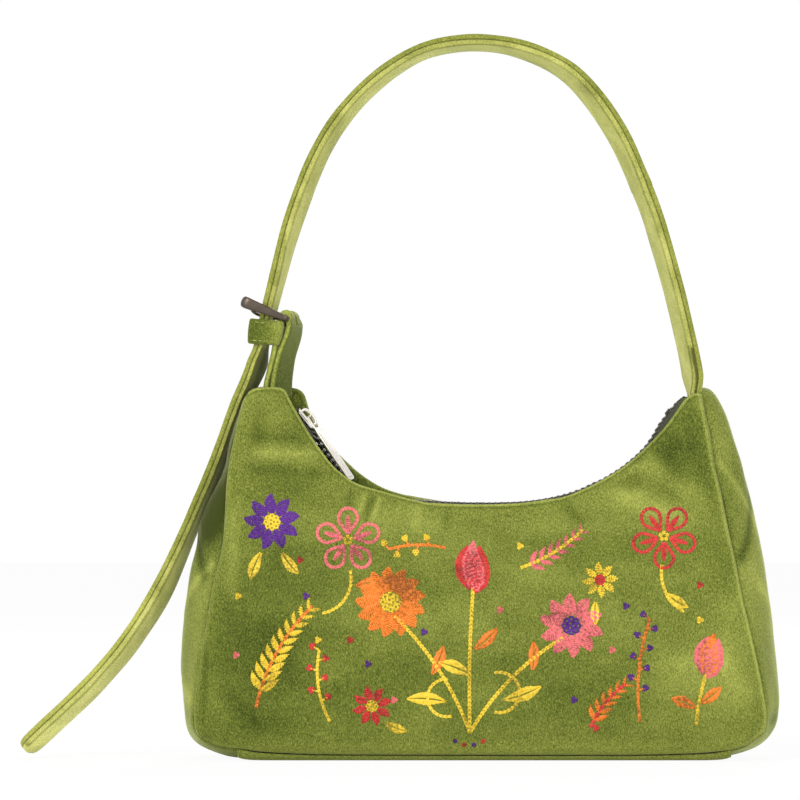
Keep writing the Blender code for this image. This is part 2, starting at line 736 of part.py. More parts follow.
def half_round(route, first, sign):
    """Where a strap's rounded root ends: a half disc about the swing axis."""
    axis = route.where_z(SWING_Z, first)
    return lambda w: axis + sign * math.sqrt(max(1 - w * w, 0.0)) * STRAP_HALF


def build_strap(axis):
    loop = Route(STRAP_LOOP_PX)
    gap = STRAP_LAYER_T / 2 + TOUCH / 2
    root = half_round(loop, True, -1)

    end_s = loop.where_z(SWING_Z + STRAP_HALF + SLACK, first=False)
    buckle_s = loop.where_z(TOE[1], first=False)
    grow = 2 * STRAP_WIDTH

    def loop_flare(s):
        return STRAP_FLARE * ease((s - root(0)) / grow - 0.5) * ease((buckle_s - s) / grow)

    for name, offset, finish in (("strap_outer", gap, VELVET), ("strap_inner", -gap, VELVET_LIGHT)):
        dome = STRAP_DOME if offset > 0 else -STRAP_DOME / 2
        obj = strip(name, loop, root, lambda w: end_s, 44, offset, STRAP_LAYER_T, finish, axis, 1,
                    loop_flare, dome)
        start, stop = from_px(PRONG_PX[1]), from_px(PRONG_PX[2])
        slope = math.atan2(stop[1] - start[1], start[0] - stop[0])
        matrix = Matrix.Translation((start[0], 0, start[1])) @ Matrix.Rotation(slope, 4, "Y")
        cut(obj, block(name + "_hole", (STRAP_WIDTH, 4 * PRONG_RADIUS, 8 * PRONG_RADIUS), matrix))
        cut(obj, swing_drum(name + "_end", TAIL_CUT_RADIUS + FIT))
    tail = Route(STRAP_TAIL_PX)
    top_s = tail.where_z(SWING_Z + TAIL_CUT_RADIUS + SLACK)
    grow_from = tail.where_z(from_px(STRAP_TAIL_PX[9])[1])

    def tail_flare(s):
        return STRAP_FLARE * ease((s - grow_from) / grow)

    def tip(w):
        return tail.length - STRAP_HALF * TIP_ROUND_SHARE * (1 - math.sqrt(max(1 - w * w, 0.0)))

    for name, offset, finish in (("tail_outer", gap, VELVET), ("tail_inner", -gap, VELVET_LIGHT)):
        dome = STRAP_DOME if offset > 0 else -STRAP_DOME / 2
        obj = strip(name, tail, lambda w: top_s, tip, 20, offset, STRAP_LAYER_T, finish, None, 1,
                    tail_flare, dome)
        above = block(name + "_above", (STRAP_WIDTH, 2 * STRAP_WIDTH, STRAP_WIDTH),
                      Matrix.Translation((KEEPER_X, 0, SWING_Z + STRAP_WIDTH / 2)))
        cut(obj, cut(above, swing_drum(name + "_drum", TAIL_CUT_RADIUS)))


def swing_drum(name, radius):
    """A drum about the strap's swing axis, where the tail meets the part that swings."""
    mesh = bpy.data.meshes.new(name)
    bm = bmesh.new()
    bmesh.ops.create_cone(bm, cap_ends=True, segments=DRUM_SIDES, radius1=radius, radius2=radius,
                          depth=2 * STRAP_WIDTH)
    bm.to_mesh(mesh)
    bm.free()
    obj = bpy.data.objects.new(name, mesh)
    obj.matrix_world = (Matrix.Translation((KEEPER_X, 0, SWING_Z))
                        @ Matrix.Rotation(math.pi / 2, 4, "Y"))
    return obj


def build_tab(axis):
    radius = HEEL_RADIUS + TOUCH + STRAP_LAYER_T / 2
    bend = []
    for k in range(9):
        a = math.pi * (1.08 - 1.16 * k / 8)
        bend.append((HEEL_PX[0] + radius / PX * math.cos(a), HEEL_PX[1] - radius / PX * math.sin(a)))
    route = Route(TAB_PX + bend + TAB_RETURN_PX, samples=8)
    start, end = half_round(route, True, -1), half_round(route, False, 1)
    turns = [route.lengths[8 * k] for k in (len(TAB_PX), len(TAB_PX) + len(bend) - 1)]
    tab = strip("buckle_tab", route, start, end, (8, 12, 9), 0.0, STRAP_LAYER_T, VELVET, axis, 1,
                bend=turns)
    below = HEEL_RADIUS + TOUCH + 2 * PRONG_RADIUS + FIT
    slot = block("tab_slot", (2 * STRAP_WIDTH, 4 * PRONG_RADIUS, STRAP_WIDTH),
                 Matrix.Translation((HEEL[0], 0, HEEL[1] + STRAP_WIDTH / 2 - below)))
    cut(tab, slot)
    return tab


def build_keeper(axis):
    outer = [tuple(from_px(p)) for p in KEEPER_OUT_PX]
    wall = KEEPER_WALL
    half = STRAP_HALF + FIT
    keeper = prism("strap_keeper", [outer], half + wall)
    place(keeper, VELVET, axis)
    left_low, left_high, right_high, right_low = [np.array(p) for p in outer]

    def stretch(low, high, shift):
        run = (high - low) * 0.5
        return [tuple(low - run + [shift, 0]), tuple(high + run + [shift, 0])]

    left = stretch(left_low, left_high, wall)
    right = stretch(right_low, right_high, -wall)
    bore = prism("keeper_bore", [[left[0], left[1], right[1], right[0]]], half)
    cut(keeper, bore)
    notch = 2 * (HEEL_RADIUS + TOUCH + 2 * PRONG_RADIUS + FIT)
    cut(keeper, block("keeper_notch", (notch, 4 * PRONG_RADIUS, notch),
                      Matrix.Translation((HEEL[0], 0, HEEL[1]))))
    return keeper


def buckle_matrix():
    """Axes at the heel bar: X towards the toe bar, Y across, Z out of the frame."""
    run = TOE - HEEL
    run = run / np.hypot(*run)
    matrix = Matrix.Identity(4)
    columns = ((run[0], 0, run[1]), (0, 1, 0), (-run[1], 0, run[0]))
    for c, column in enumerate(columns):
        for row in range(3):
            matrix[row][c] = column[row]
    matrix[0][3], matrix[2][3] = HEEL
    return matrix


def build_buckle(axis, finish):
    """A rectangular frame, thin at the heel bar that the tab folds round, thick at the toe bar."""
    matrix = buckle_matrix()
    span = float(np.hypot(*(TOE - HEEL)))
    inner_half = STRAP_HALF + SLACK
    length = span + (BUCKLE_RAIL + HEEL_BAR) / 2
    width = 2 * (inner_half + BUCKLE_RAIL)
    mesh_matrix = matrix @ Matrix.Translation(((length - HEEL_BAR) / 2, 0, 0))
    frame = block("buckle_frame", (length, width, BUCKLE_THICK), mesh_matrix,
                  bevel=BUCKLE_THIN / 4, segments=1)
    for vert in frame.data.vertices:
        share = vert.co.x / length + 0.5
        vert.co.z *= (BUCKLE_THIN + (BUCKLE_THICK - BUCKLE_THIN) * share) / BUCKLE_THICK
    place(frame, finish, axis)
    hole = block("buckle_opening", (length - BUCKLE_RAIL - HEEL_BAR, 2 * inner_half,
                                    2 * BUCKLE_THICK),
                 shifted(matrix, x=(span + (HEEL_BAR - BUCKLE_RAIL) / 2) / 2))
    cut(frame, hole)


def build_prong(axis, finish):
    radius = HEEL_RADIUS + TOUCH + PRONG_RADIUS
    lead = Vector((PRONG_PX[0][0] - HEEL_PX[0], HEEL_PX[1] - PRONG_PX[0][1]))
    begin = math.atan2(lead.y, lead.x)
    points = []
    for k in range(12):
        a = begin - math.radians(318) * (1 - k / 11)
        points.append((HEEL[0] + radius * math.cos(a), 0, HEEL[1] + radius * math.sin(a)))
    for px in PRONG_PX:
        x, z = from_px(px)
        points.append((x, 0, z))
    prong = as_mesh(wire("buckle_prong", points, PRONG_RADIUS))
    prong.data.shade_smooth()
    place(prong, finish, axis)


clear_scene()
PARTS = new_collection("velvet_mini_bag")
CUTTERS = new_collection("cutters")

VELVET = ("velvet_green", GREEN, 0.85)
VELVET_LIGHT = ("velvet_light_green", LIGHT_GREEN, 0.85)
VELVET_DEEP = ("velvet_deep_green", DEEP_GREEN, 0.9)
LINING_CLOTH = ("lining_cloth", LINING, 0.8)
FOAM = ("foam_cream", CREAM, 0.95)
STIFFENER = ("board_grey", BOARD, 0.9)
TAPE_CLOTH = ("tape_dark", TAPE, 0.85)
TEETH_METAL = ("gunmetal", GUNMETAL, 0.35, 1.0)
BUCKLE_METAL = ("pewter", PEWTER, 0.4, 1.0)
PULLER_METAL = ("silver", SILVER, 0.3, 1.0)

PLAN, PLAN_COLUMNS, PLAN_ROWS, SEAMS = panel_plan()

# Body
LAYER_2 = PANEL_T + FIT
LAYER_3 = LAYER_2 + FOAM_T + FIT
for side_name, facing in (("front", -1), ("back", 1)):
    panel_sheet(side_name + "_panel", 0.0, PANEL_T, facing, VELVET)
    panel_sheet(side_name + "_foam", LAYER_2, FOAM_T, facing, FOAM, inner=True)
    panel_sheet("lining_" + side_name, LAYER_3, LINING_T, facing, LINING_CLOTH, inner=True)
gusset("left_gusset", -1, VELVET_DEEP)
gusset("right_gusset", 1, VELVET_DEEP)
lining_band(LINING_CLOTH)

BASE_ENDS = [PLAN[BASE_TURN, 0][0] + TOUCH, PLAN[PLAN_COLUMNS - BASE_TURN, 0][0] - TOUCH]
BASE_MIDDLE = (BASE_ENDS[0] + BASE_ENDS[1]) / 2
BASE_LENGTH = BASE_ENDS[1] - BASE_ENDS[0]
BASE_HALF_DEPTH = half_depth(BASE_MIDDLE, 0.0) - PANEL_T - FIT
place(block("base_panel", (BASE_LENGTH, 2 * BASE_HALF_DEPTH, BASE_T),
            Matrix.Translation((BASE_MIDDLE, 0, BASE_T / 2)), bevel=BASE_T / 4), VELVET_DEEP)
place(block("base_board", (BASE_LENGTH, 2 * (BASE_HALF_DEPTH - FIT), BOARD_T),
            Matrix.Translation((BASE_MIDDLE, 0, BASE_T + TOUCH + BOARD_T / 2)),
            bevel=BOARD_T / 4), STIFFENER)

# Zip
for side_name, facing in (("front", -1), ("back", 1)):
    zip_tape("zip_tape_" + side_name, facing, TAPE_CLOTH)
    tooth_row("zip_teeth_" + side_name, facing, TEETH_METAL)
build_stops(TEETH_METAL)
ZIP_AXIS = joint_empty("zip_axis", (ZIP_CENTRE[0], 0, ZIP_CENTRE[1]))
build_slider(ZIP_AXIS, PULLER_METAL)
PULLER_AXIS = joint_empty("puller_axis", puller_frame().translation, ZIP_AXIS)
build_puller(PULLER_AXIS, PULLER_METAL)

# Strap
STRAP_AXIS = joint_empty("strap_axis", (0, 0, SWING_Z))
build_strap(STRAP_AXIS)
build_tab(STRAP_AXIS)
build_keeper(STRAP_AXIS)
BUCKLE_AXIS = joint_empty("buckle_axis", (HEEL[0], 0, HEEL[1]), STRAP_AXIS)
build_buckle(BUCKLE_AXIS, BUCKLE_METAL)
PRONG_AXIS = joint_empty("prong_axis", (HEEL[0], 0, HEEL[1]), STRAP_AXIS)
build_prong(PRONG_AXIS, BUCKLE_METAL)
bpy.context.view_layer.update()
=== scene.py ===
"""Velvet mini bag: the dressed model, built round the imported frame.

Metres, +Z up, the front faces -Y. Outlines are drawn in pixels of a square-on picture of the front.
"""
import math
import random

import bmesh
import bpy
import numpy as np
from mathutils import Matrix, Vector
from mathutils.bvhtree import BVHTree


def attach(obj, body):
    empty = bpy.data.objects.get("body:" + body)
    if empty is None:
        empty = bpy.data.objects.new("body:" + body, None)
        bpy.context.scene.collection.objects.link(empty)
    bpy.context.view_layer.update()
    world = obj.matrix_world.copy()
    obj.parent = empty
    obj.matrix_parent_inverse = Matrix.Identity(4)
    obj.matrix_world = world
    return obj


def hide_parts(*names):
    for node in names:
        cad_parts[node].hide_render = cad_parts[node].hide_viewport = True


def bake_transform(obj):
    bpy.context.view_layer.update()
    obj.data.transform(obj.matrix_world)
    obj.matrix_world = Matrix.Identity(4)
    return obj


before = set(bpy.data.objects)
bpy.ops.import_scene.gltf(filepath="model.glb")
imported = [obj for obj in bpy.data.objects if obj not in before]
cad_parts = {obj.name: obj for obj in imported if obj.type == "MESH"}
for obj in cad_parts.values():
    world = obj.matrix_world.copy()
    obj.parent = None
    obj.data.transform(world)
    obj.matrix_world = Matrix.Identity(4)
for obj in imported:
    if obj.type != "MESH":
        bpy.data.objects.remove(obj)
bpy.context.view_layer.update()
random.seed(7)

# Drawing scale and camera
PX = 0.00044
AXIS_PX = 480.0
FLOOR_PX = 757.5
IMAGE_PX = 800
VIEW_X = (IMAGE_PX / 2 - AXIS_PX) * PX
VIEW_Z = (FLOOR_PX - IMAGE_PX / 2) * PX
CAMERA_DISTANCE = 2.5
SENSOR = 36.0

# Sizes shared with the frame; DEPTH_SHARES gives height shares of the body and the depth's shares there
HALF_DEPTH = 0.0300
ZIP_HALF_DEPTH = 0.0092
HORN_HALF_DEPTH = 0.0130
CROWN = 0.0035
CROWN_RISE = 0.0300
DEPTH_RISE = 0.0850
SIDE_MIDDLE = 0.00044
SIDE_HALF = 0.1282
BODY_TOP = 0.1630
HORN_FROM = math.radians(47)
HORN_TO = math.radians(58)
DEPTH_SHARES = [(0.0, 0.95), (0.12, 1.0), (0.25, 1.0), (0.45, 0.88), (0.65, 0.58), (0.82, 0.26),
                (0.93, 0.06), (1.0, 0.0)]
ZIP_CENTRE = (0.00198, 0.21186)
ZIP_CENTRE_PX = (484.5, 276.0)
ZIP_RADIUS = 0.102454
ZIP_START = math.radians(-55.0)
ZIP_END = math.radians(54.3)
SLIDER_REST = math.radians(-51.2)
STRAP_HALF = 0.0100
SWING_Z = 0.1660
STRAP_BELOW_SWING, TAB_BELOW_SWING = 0.008, 0.007
SEAM_DEPTH = 0.0022
# Where a stitched top edge is rolled over, below its crest
EDGE_ROLL = 0.0014

# Outlines of the front panel, as the picture shows them
LEFT_SEAM_PX = [
    (206, 741.5), (198, 736.2), (194.2, 727), (193.6, 703), (200, 656), (208, 608), (211.5, 587),
    (218, 563), (222.6, 540), (225, 508), (226, 488), (227.6, 472), (230.4, 454), (233.4, 440),
    (236.2, 428), (240.4, 412), (244.6, 399), (249, 391.5)]
RIGHT_SEAM_PX = [
    (758, 738), (765, 732), (767.6, 719), (765.7, 699), (758, 659.5), (748, 617), (743, 596), (736, 560.6),
    (728.6, 528), (720, 487), (714, 464), (708, 428.6), (703.5, 407), (701.5, 393.5)]
BASE_SEAM_PX = [
    (206, 741.5), (215.5, 746), (228, 748.8), (242, 750.2), (258, 752.8), (300, 755), (345, 755.8),
    (400, 756), (480, 756.2), (574, 756.2), (649, 756), (711, 753.5), (743, 747.5), (758, 738)]
# Tops of the panels, from the left seam to the right one
FRONT_TOP_PX = [
    (249, 391.5), (254, 388.3), (261, 387.6), (270, 387), (279, 387.6), (285.5, 391), (290, 400),
    (294, 407), (303.3, 423), (311.8, 436.6), (320.8, 449.3), (329.0, 460), (335.8, 467.6), (342.4, 473.2),
    (351, 479.5), (360, 484), (380, 490), (400, 495.6), (417, 500), (434, 502.9), (457, 504.2),
    (480, 504.5), (503, 504), (526, 502.5), (560.7, 497), (580, 490), (596, 482.6), (614.5, 472),
    (630, 461), (643, 449.5), (655, 437.6), (665.5, 426), (674.5, 414), (683.5, 401.5), (689.5, 395.6),
    (695, 393.4), (701.5, 393.5)]
BACK_TOP_PX = [
    (249, 391.5), (254, 388.3), (261, 387), (270, 386.6), (282, 386.8), (291, 387.6), (298, 389.4),
    (303, 394), (306.3, 402), (309, 411), (313, 420), (322, 434), (333, 448.5), (347, 462.8), (363, 475.8),
    (375, 483.6), (384, 488.2), (394, 491.9), (411, 496.4), (434, 500.5), (457, 503.5), (480, 505),
    (526, 503.5), (560, 499), (596, 486), (630, 462.5), (645, 448), (662, 428), (677, 409), (689, 397),
    (695, 393.6), (701.5, 393.5)]
# How far the chain strays from its arc, by angle, in pixels
BOW_DEGREES = [-55, -47, -43, -38, -35, -32.5, -30, -27, -24, -21, -17, -12.6, -6.9, -1.1, 4.7, 10.4, 18.7,
               21.0, 24.8, 27.6, 29.7, 31.7, 36.0, 40.4, 43.7, 47.0, 49.4, 53.6, 57.4, 59.7, 61.0]
BOW_PX = [0, 0.8, 7.6, 11.8, 15.2, 17.4, 16.8, 14.0, 10.6, 7.4, 3.4, -0.4, -3.2, -4.3, -3.8, -1.8, 1.3, 2.2,
          3.2, 3.3, 4.4, 4.6, 4.8, 4.4, 3.4, 0.8, -1.6, -2.4, -0.6, 3.2, 5.0]
# How far it tips to the front, by angle
ROLL_DEGREES = [-55, -48, -44, -38, -34, -30, -24, 15, 30, 55]
ROLL_ANGLES = [0, 4, 22, 26, 22, 10, 0, 0, 5, 3]
TAPE_PAST_END = math.radians(4.7)
# Where the gussets' middles stand out furthest
LEFT_SIDE_PX = [
    (240, 757.3), (228, 755.6), (217, 752.6), (202, 747.0), (190.5, 738.0), (186.6, 730), (183.6, 717),
    (182.0, 700), (181.8, 670), (183.0, 634), (185, 608), (188.4, 584), (192, 562), (197, 543),
    (198.6, 525), (203.5, 512), (209.5, 500), (215.0, 489), (220.6, 478), (225.4, 467), (226.6, 454),
    (231.8, 428), (241, 404), (247, 392.5), (254, 386.6), (261, 384.8), (267, 386.6)]
RIGHT_SIDE_PX = [
    (727, 755.6), (745, 751), (763, 742), (774, 729), (778.6, 715), (778.2, 690), (775.8, 656), (771, 608),
    (764.4, 560), (760, 536), (755, 512), (749, 488), (742.6, 464), (734.6, 440), (726.4, 417),
    (718.6, 399.4), (713.0, 389.8), (706.5, 385.4), (701.0, 387.4)]
BASE_END_X = (-0.1066, 0.1095)
GUSSET_LAP = 0.0026

# Route of the strap's middle, from the right horn over the top and down to the tail's end
STRAP_PX = [
    (694.6, 403.5), (693.4, 380), (690.0, 360), (683.5, 330), (676.5, 300), (668.5, 270), (660, 240),
    (650.5, 210), (638.5, 180), (625.5, 150), (609, 120), (586.5, 90), (562, 67.4), (520, 48.6),
    (475, 42.6), (430, 48.6), (394, 67.4), (366, 90), (340, 120), (321.5, 150), (308, 180), (297, 210),
    (287.5, 240), (279.7, 270), (272.5, 298), (267.6, 317), (263.8, 332), (261.4, 345), (260.5, 353),
    (257.3, 365), (250.6, 380), (242.9, 396), (236.6, 408), (228.4, 430), (222.4, 448), (216.6, 465),
    (209.4, 484), (201.6, 502), (191.9, 524), (181.6, 548), (171, 572), (159, 596), (144.6, 620),
    (128, 644), (108.8, 668), (86.5, 692), (60.5, 716.5), (33.4, 742), (25, 749.5)]
TAB_PX = [(271.2, 405), (271.6, 385), (274.0, 372), (275.4, 361), (275.8, 353), (275.6, 345), (275.2, 336),
          (277.2, 327)]
TAB_RETURN_PX = [(294.4, 326), (293.0, 335), (289.6, 345), (286.2, 355), (283.6, 367), (281.2, 385),
                 (281.0, 405)]
HEEL_PX = (287.0, 319.0)
TOE_PX = (244.5, 302.0)
KEEPER_PX = [(248.2, 343.6), (250.4, 318.6), (284.8, 321.4), (279.8, 345.4)]
PRONG_PX = [(280, 318.8), (270, 317.6), (261, 315.6), (254.5, 312.6), (251.5, 309.2)]


# Numbers and curves
def metres(px):
    px = np.asarray(px, float)
    return np.stack([(px[..., 0] - AXIS_PX) * PX, (FLOOR_PX - px[..., 1]) * PX], -1)


def seen(flat, depth):
    """Where a point that the camera sees at flat really is, when it lies depth nearer the camera."""
    centre = np.array([VIEW_X, VIEW_Z])
    return centre + (flat - centre) * (1 - np.asarray(depth)[..., None] / CAMERA_DISTANCE)


def ease(value):
    value = np.clip(value, 0, 1)
    return value * value * (3 - 2 * value)


def saturate(value):
    return 1 - (1 - np.clip(value, 0, 1)) ** 2


def bell(value, middle, width):
    return np.exp(-((value - middle) / width) ** 2)


class Noise:
    """Smooth value noise on a seeded lattice, from -1 to 1."""

    def __init__(self, seed, size=64):
        self.size = size
        self.grid = np.random.default_rng(seed).uniform(-1, 1, (size, size))

    def at(self, x, y=0.0):
        x, y = np.broadcast_arrays(np.asarray(x, float), np.asarray(y, float))
        i, j = np.floor(x).astype(int), np.floor(y).astype(int)
        u, v = ease(x - i), ease(y - j)
        i, j, i2, j2 = i % self.size, j % self.size, (i + 1) % self.size, (j + 1) % self.size
        near = self.grid[i, j] * (1 - u) + self.grid[i2, j] * u
        far = self.grid[i, j2] * (1 - u) + self.grid[i2, j2] * u
        return near * (1 - v) + far * v

    def layers(self, x, y, layers):
        """Noises laid over each other: each one's height, lengths, and place on the lattice."""
        return sum(height * self.at(x / long + i, y / high + j) for height, long, high, i, j in layers)


class Curve:
    """A smooth curve through points of a plane, measured by its length."""

    def __init__(self, points, samples=16):
        pts = [np.asarray(p, float) for p in points]
        pts = [2 * pts[0] - pts[1]] + pts + [2 * pts[-1] - pts[-2]]
        t = (np.arange(samples) / samples)[:, None]
        dense = [0.5 * (2 * b + (c - a) * t + (2 * a - 5 * b + 4 * c - d) * t * t
                        + (3 * b - a - 3 * c + d) * t ** 3)
                 for a, b, c, d in zip(pts, pts[1:], pts[2:], pts[3:])]
        self.points = np.vstack(dense + [pts[-2][None]])
        steps = np.linalg.norm(np.diff(self.points, axis=0), axis=1)
        self.lengths = np.concatenate([[0.0], np.cumsum(steps)])
        self.length = self.lengths[-1]

    def at(self, s):
        return np.stack([np.interp(s, self.lengths, self.points[:, k])
                         for k in range(self.points.shape[1])], -1)

    def share(self, f):
        return self.at(np.asarray(f) * self.length)

    def tangent(self, s):
        step = self.length / 500
        d = self.at(np.minimum(s + step, self.length)) - self.at(np.maximum(s - step, 0))
        return d / np.linalg.norm(d, axis=-1, keepdims=True)

    def sides(self, s):
        """The directions along and to the left of the curve."""
        t = self.tangent(s)
        return t, np.stack([-t[..., 1], t[..., 0]], -1)

    def where_z(self, z, first=True):
        hits = np.nonzero(np.diff(np.sign(self.points[:, 1] - z)))[0]
        k = hits[0] if first else hits[-1]
        z0, z1 = self.points[k, 1], self.points[k + 1, 1]
        return self.lengths[k] + (self.lengths[k + 1] - self.lengths[k]) * (z - z0) / (z1 - z0)

    def nearest(self, points):
        """Distance from each point to the curve, and the length along it of the nearest place."""
        a, b = self.points[:-1], self.points[1:]
        run = b - a
        square = np.maximum((run ** 2).sum(1), 1e-16)
        flat = points.reshape(-1, points.shape[-1])
        best = np.full(len(flat), np.inf)
        place = np.zeros(len(flat))
        for k in range(len(run)):
            t = np.clip(((flat - a[k]) @ run[k]) / square[k], 0, 1)
            d = np.linalg.norm(flat - a[k] - t[:, None] * run[k], axis=1)
            closer = d < best
            best[closer] = d[closer]
            place[closer] = self.lengths[k] + t[closer] * (self.lengths[k + 1] - self.lengths[k])
        return best.reshape(points.shape[:-1]), place.reshape(points.shape[:-1])


def smoothed(curve, reach):
    """A curve's points at even spacing, each averaged with its neighbours within reach."""
    count = int(curve.length / 0.0015)
    points = curve.share(np.linspace(0, 1, count + 1))
    step = curve.length / count
    wide = int(reach / step)
    spread = np.exp(-(np.arange(-wide, wide + 1) * step / (reach / 2)) ** 2)
    ends = [2 * points[0] - points[wide:0:-1], points, 2 * points[-1] - points[-2:-wide - 2:-1]]
    full = np.vstack(ends)
    return np.stack([np.convolve(full[:, k], spread / spread.sum(), "valid") for k in range(2)], -1)


def half_depth(x, z):
    """Half depth of the body above the point x, z of its middle plane."""
    dx, dz = x - ZIP_CENTRE[0], ZIP_CENTRE[1] - z
    away = np.hypot(dx, dz) - ZIP_RADIUS
    angle = np.abs(np.arctan2(dx, np.maximum(dz, 0.0003)))
    at_zip = ZIP_HALF_DEPTH + (HORN_HALF_DEPTH - ZIP_HALF_DEPTH) * ease(
        (angle - HORN_FROM) / (HORN_TO - HORN_FROM))
    share = np.interp(z / BODY_TOP, [p[0] for p in DEPTH_SHARES], [p[1] for p in DEPTH_SHARES])
    side_depth = HORN_HALF_DEPTH + (HALF_DEPTH - CROWN - HORN_HALF_DEPTH) * share
    depth = at_zip + (side_depth - at_zip) * saturate(away / DEPTH_RISE)
    side = np.abs(x - SIDE_MIDDLE) / SIDE_HALF
    crown = CROWN * ease(away / CROWN_RISE) * saturate(z / CROWN_RISE) * saturate(
        (1 - side) * SIDE_HALF / CROWN_RISE)
    return depth + crown


# Meshes
def new_object(name, data):
    obj = bpy.data.objects.new(name, data)
    bpy.context.scene.collection.objects.link(obj)
    return obj


def dress(obj, slot, *nodes, body="bag"):
    """Hangs a piece on the empty of the body that carries it, and hides the frame's nodes that it replaces;
    its slot is not used.
    """
    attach(obj, body)
    if nodes:
        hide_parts(*nodes)


def mesh_object(name, verts, faces, mat, smooth=True):
    mesh = bpy.data.meshes.new(name)
    mesh.from_pydata([tuple(map(float, v)) for v in verts], [], [tuple(map(int, f)) for f in faces])
    mesh.validate()
    if smooth:
        mesh.shade_smooth()
    mesh.materials.append(mat)
    return new_object(name, mesh)


def vertex_array(obj, field="co"):
    return np.array([getattr(v, field)[:] for v in obj.data.vertices])


def grid_faces(rows, columns, wrap=False, flip=False):
    i, j = np.meshgrid(np.arange(rows - 1), np.arange(columns - (not wrap)), indexing="ij")
    j2 = (j + 1) % columns
    quads = np.stack([i * columns + j, (i + 1) * columns + j, (i + 1) * columns + j2,
                      i * columns + j2], -1).reshape(-1, 4)
    return quads[:, ::-1] if flip else quads


def grid_object(name, points, mat, outward, thickness):
    """An object from a grid of points that faces outward, thickened inwards."""
    rows, columns = points.shape[:2]
    normal = np.cross(points[1:, :-1] - points[:-1, :-1], points[:-1, 1:] - points[:-1, :-1])
    flip = bool((normal.reshape(-1, 3) @ np.asarray(outward, float)).sum() < 0)
    obj = mesh_object(name, points.reshape(-1, 3), grid_faces(rows, columns, flip=flip), mat)
    solid = obj.modifiers.new("thickness", "SOLIDIFY")
    solid.thickness, solid.offset, solid.use_rim = thickness, -1, True
    return obj


def grid_normals(points):
    normal = np.cross(np.gradient(points, axis=0), np.gradient(points, axis=1))
    return normal / np.maximum(np.linalg.norm(normal, axis=-1, keepdims=True), 1e-12)


def evaluated_mesh(obj):
    """The mesh that an object's modifiers or curve result in."""
    bpy.context.view_layer.update()
    return bpy.data.meshes.new_from_object(obj.evaluated_get(bpy.context.evaluated_depsgraph_get()))


def sweep(name, centres, outs, acrosses, sections, mat, closed=False):
    """A tube whose section (across, out) is set at each station of a path."""
    sections = np.asarray(sections, float)
    verts = (centres[:, None] + sections[..., :1] * acrosses[:, None]
             + sections[..., 1:] * outs[:, None])
    count, ring = verts.shape[:2]
    faces = [tuple(f) for f in grid_faces(count + closed, ring, wrap=True) % (count * ring)]
    if not closed:
        faces += [tuple(range(ring)), tuple(range((count - 1) * ring, count * ring))[::-1]]
    obj = mesh_object(name, verts.reshape(-1, 3), faces, mat)
    bm = bmesh.new()
    bm.from_mesh(obj.data)
    bmesh.ops.recalc_face_normals(bm, faces=bm.faces)
    bm.to_mesh(obj.data)
    bm.free()
    obj.data.shade_smooth()
    return obj


def layer_section(half, thick, dome=0.0, under=0.0, arc=8, flat=7, groove=0.0):
    """A flat strip's section with round edges: a dome on its upper face and one below."""
    r = thick / 2
    turn = np.linspace(-math.pi / 2, math.pi / 2, arc + 1)
    ws = np.linspace(1, -1, flat + 2)[1:-1]
    right = np.stack([half - r + r * np.cos(turn), r * np.sin(turn)], -1)
    right[arc // 2, 0] -= groove
    top = np.stack([ws * (half - r), r + dome * (1 - ws ** 2)], -1)
    bottom = np.stack([-ws * (half - r), -r - under * (1 - ws ** 2)], -1)
    return np.vstack([right, top, -right, bottom])


WIRE_END = ((0.0, 0.3), (0.35, 0.75))


def wire(name, points, radius, mat, sides=10):
    """A round wire through points in space, with rounded ends."""
    points = np.asarray(points, float)
    tangents = np.gradient(points, axis=0)
    tangents /= np.linalg.norm(tangents, axis=1, keepdims=True)
    side = np.array([0.0, 1.0, 0.0])
    acrosses, outs = [], []
    for t in tangents:
        a = side - t * side.dot(t)
        if np.linalg.norm(a) < 1e-3:
            a = np.array([1.0, 0, 0]) - t * t[0]
        a /= np.linalg.norm(a)
        side = a
        acrosses.append(a)
        outs.append(np.cross(t, a))
    turn = np.linspace(0, 2 * math.pi, sides, endpoint=False)
    ring = np.stack([np.cos(turn), np.sin(turn)], -1)
    head = [points[0] - tangents[0] * radius * (1 - place) for place, _ in WIRE_END]
    tail = [points[-1] + tangents[-1] * radius * (1 - place) for place, _ in WIRE_END][::-1]
    centres = np.vstack([head, points, tail])
    ends = [radius * share for _, share in WIRE_END]
    radii = np.array(ends + [radius] * len(points) + ends[::-1])
    acrosses = [acrosses[0]] * 2 + acrosses + [acrosses[-1]] * 2
    outs = [outs[0]] * 2 + outs + [outs[-1]] * 2
    return sweep(name, centres, np.array(outs), np.array(acrosses), ring[None] * radii[:, None, None], mat)


# Materials
def new_material(name, roughness=0.8, metallic=0.0):
    mat = bpy.data.materials.new(name)
    mat.use_nodes = True
    tree = mat.node_tree
    shader = tree.nodes["Principled BSDF"]
    set_values(shader, {"Roughness": roughness, "Metallic": metallic})
    return mat, tree, shader


def link(tree, node, output, into, socket):
    tree.links.new(node.outputs[output], into.inputs[socket])


def set_values(node, values):
    for key, value in values.items():
        node.inputs[key].default_value = value


def add(tree, kind, **values):
    node = tree.nodes.new(kind)
    for key, value in values.items():
        if key in node.inputs:
            node.inputs[key].default_value = value
        else:
            setattr(node, key, value)
    return node


def set_sheen(shader, weight, tint, specular):
    set_values(shader, {"Sheen Weight": weight, "Sheen Tint": (*tint, 1), "Specular IOR Level": specular})


def scaled(colour, factor, plus=0.0):
    return tuple(min(c * factor + plus, 1) for c in colour)


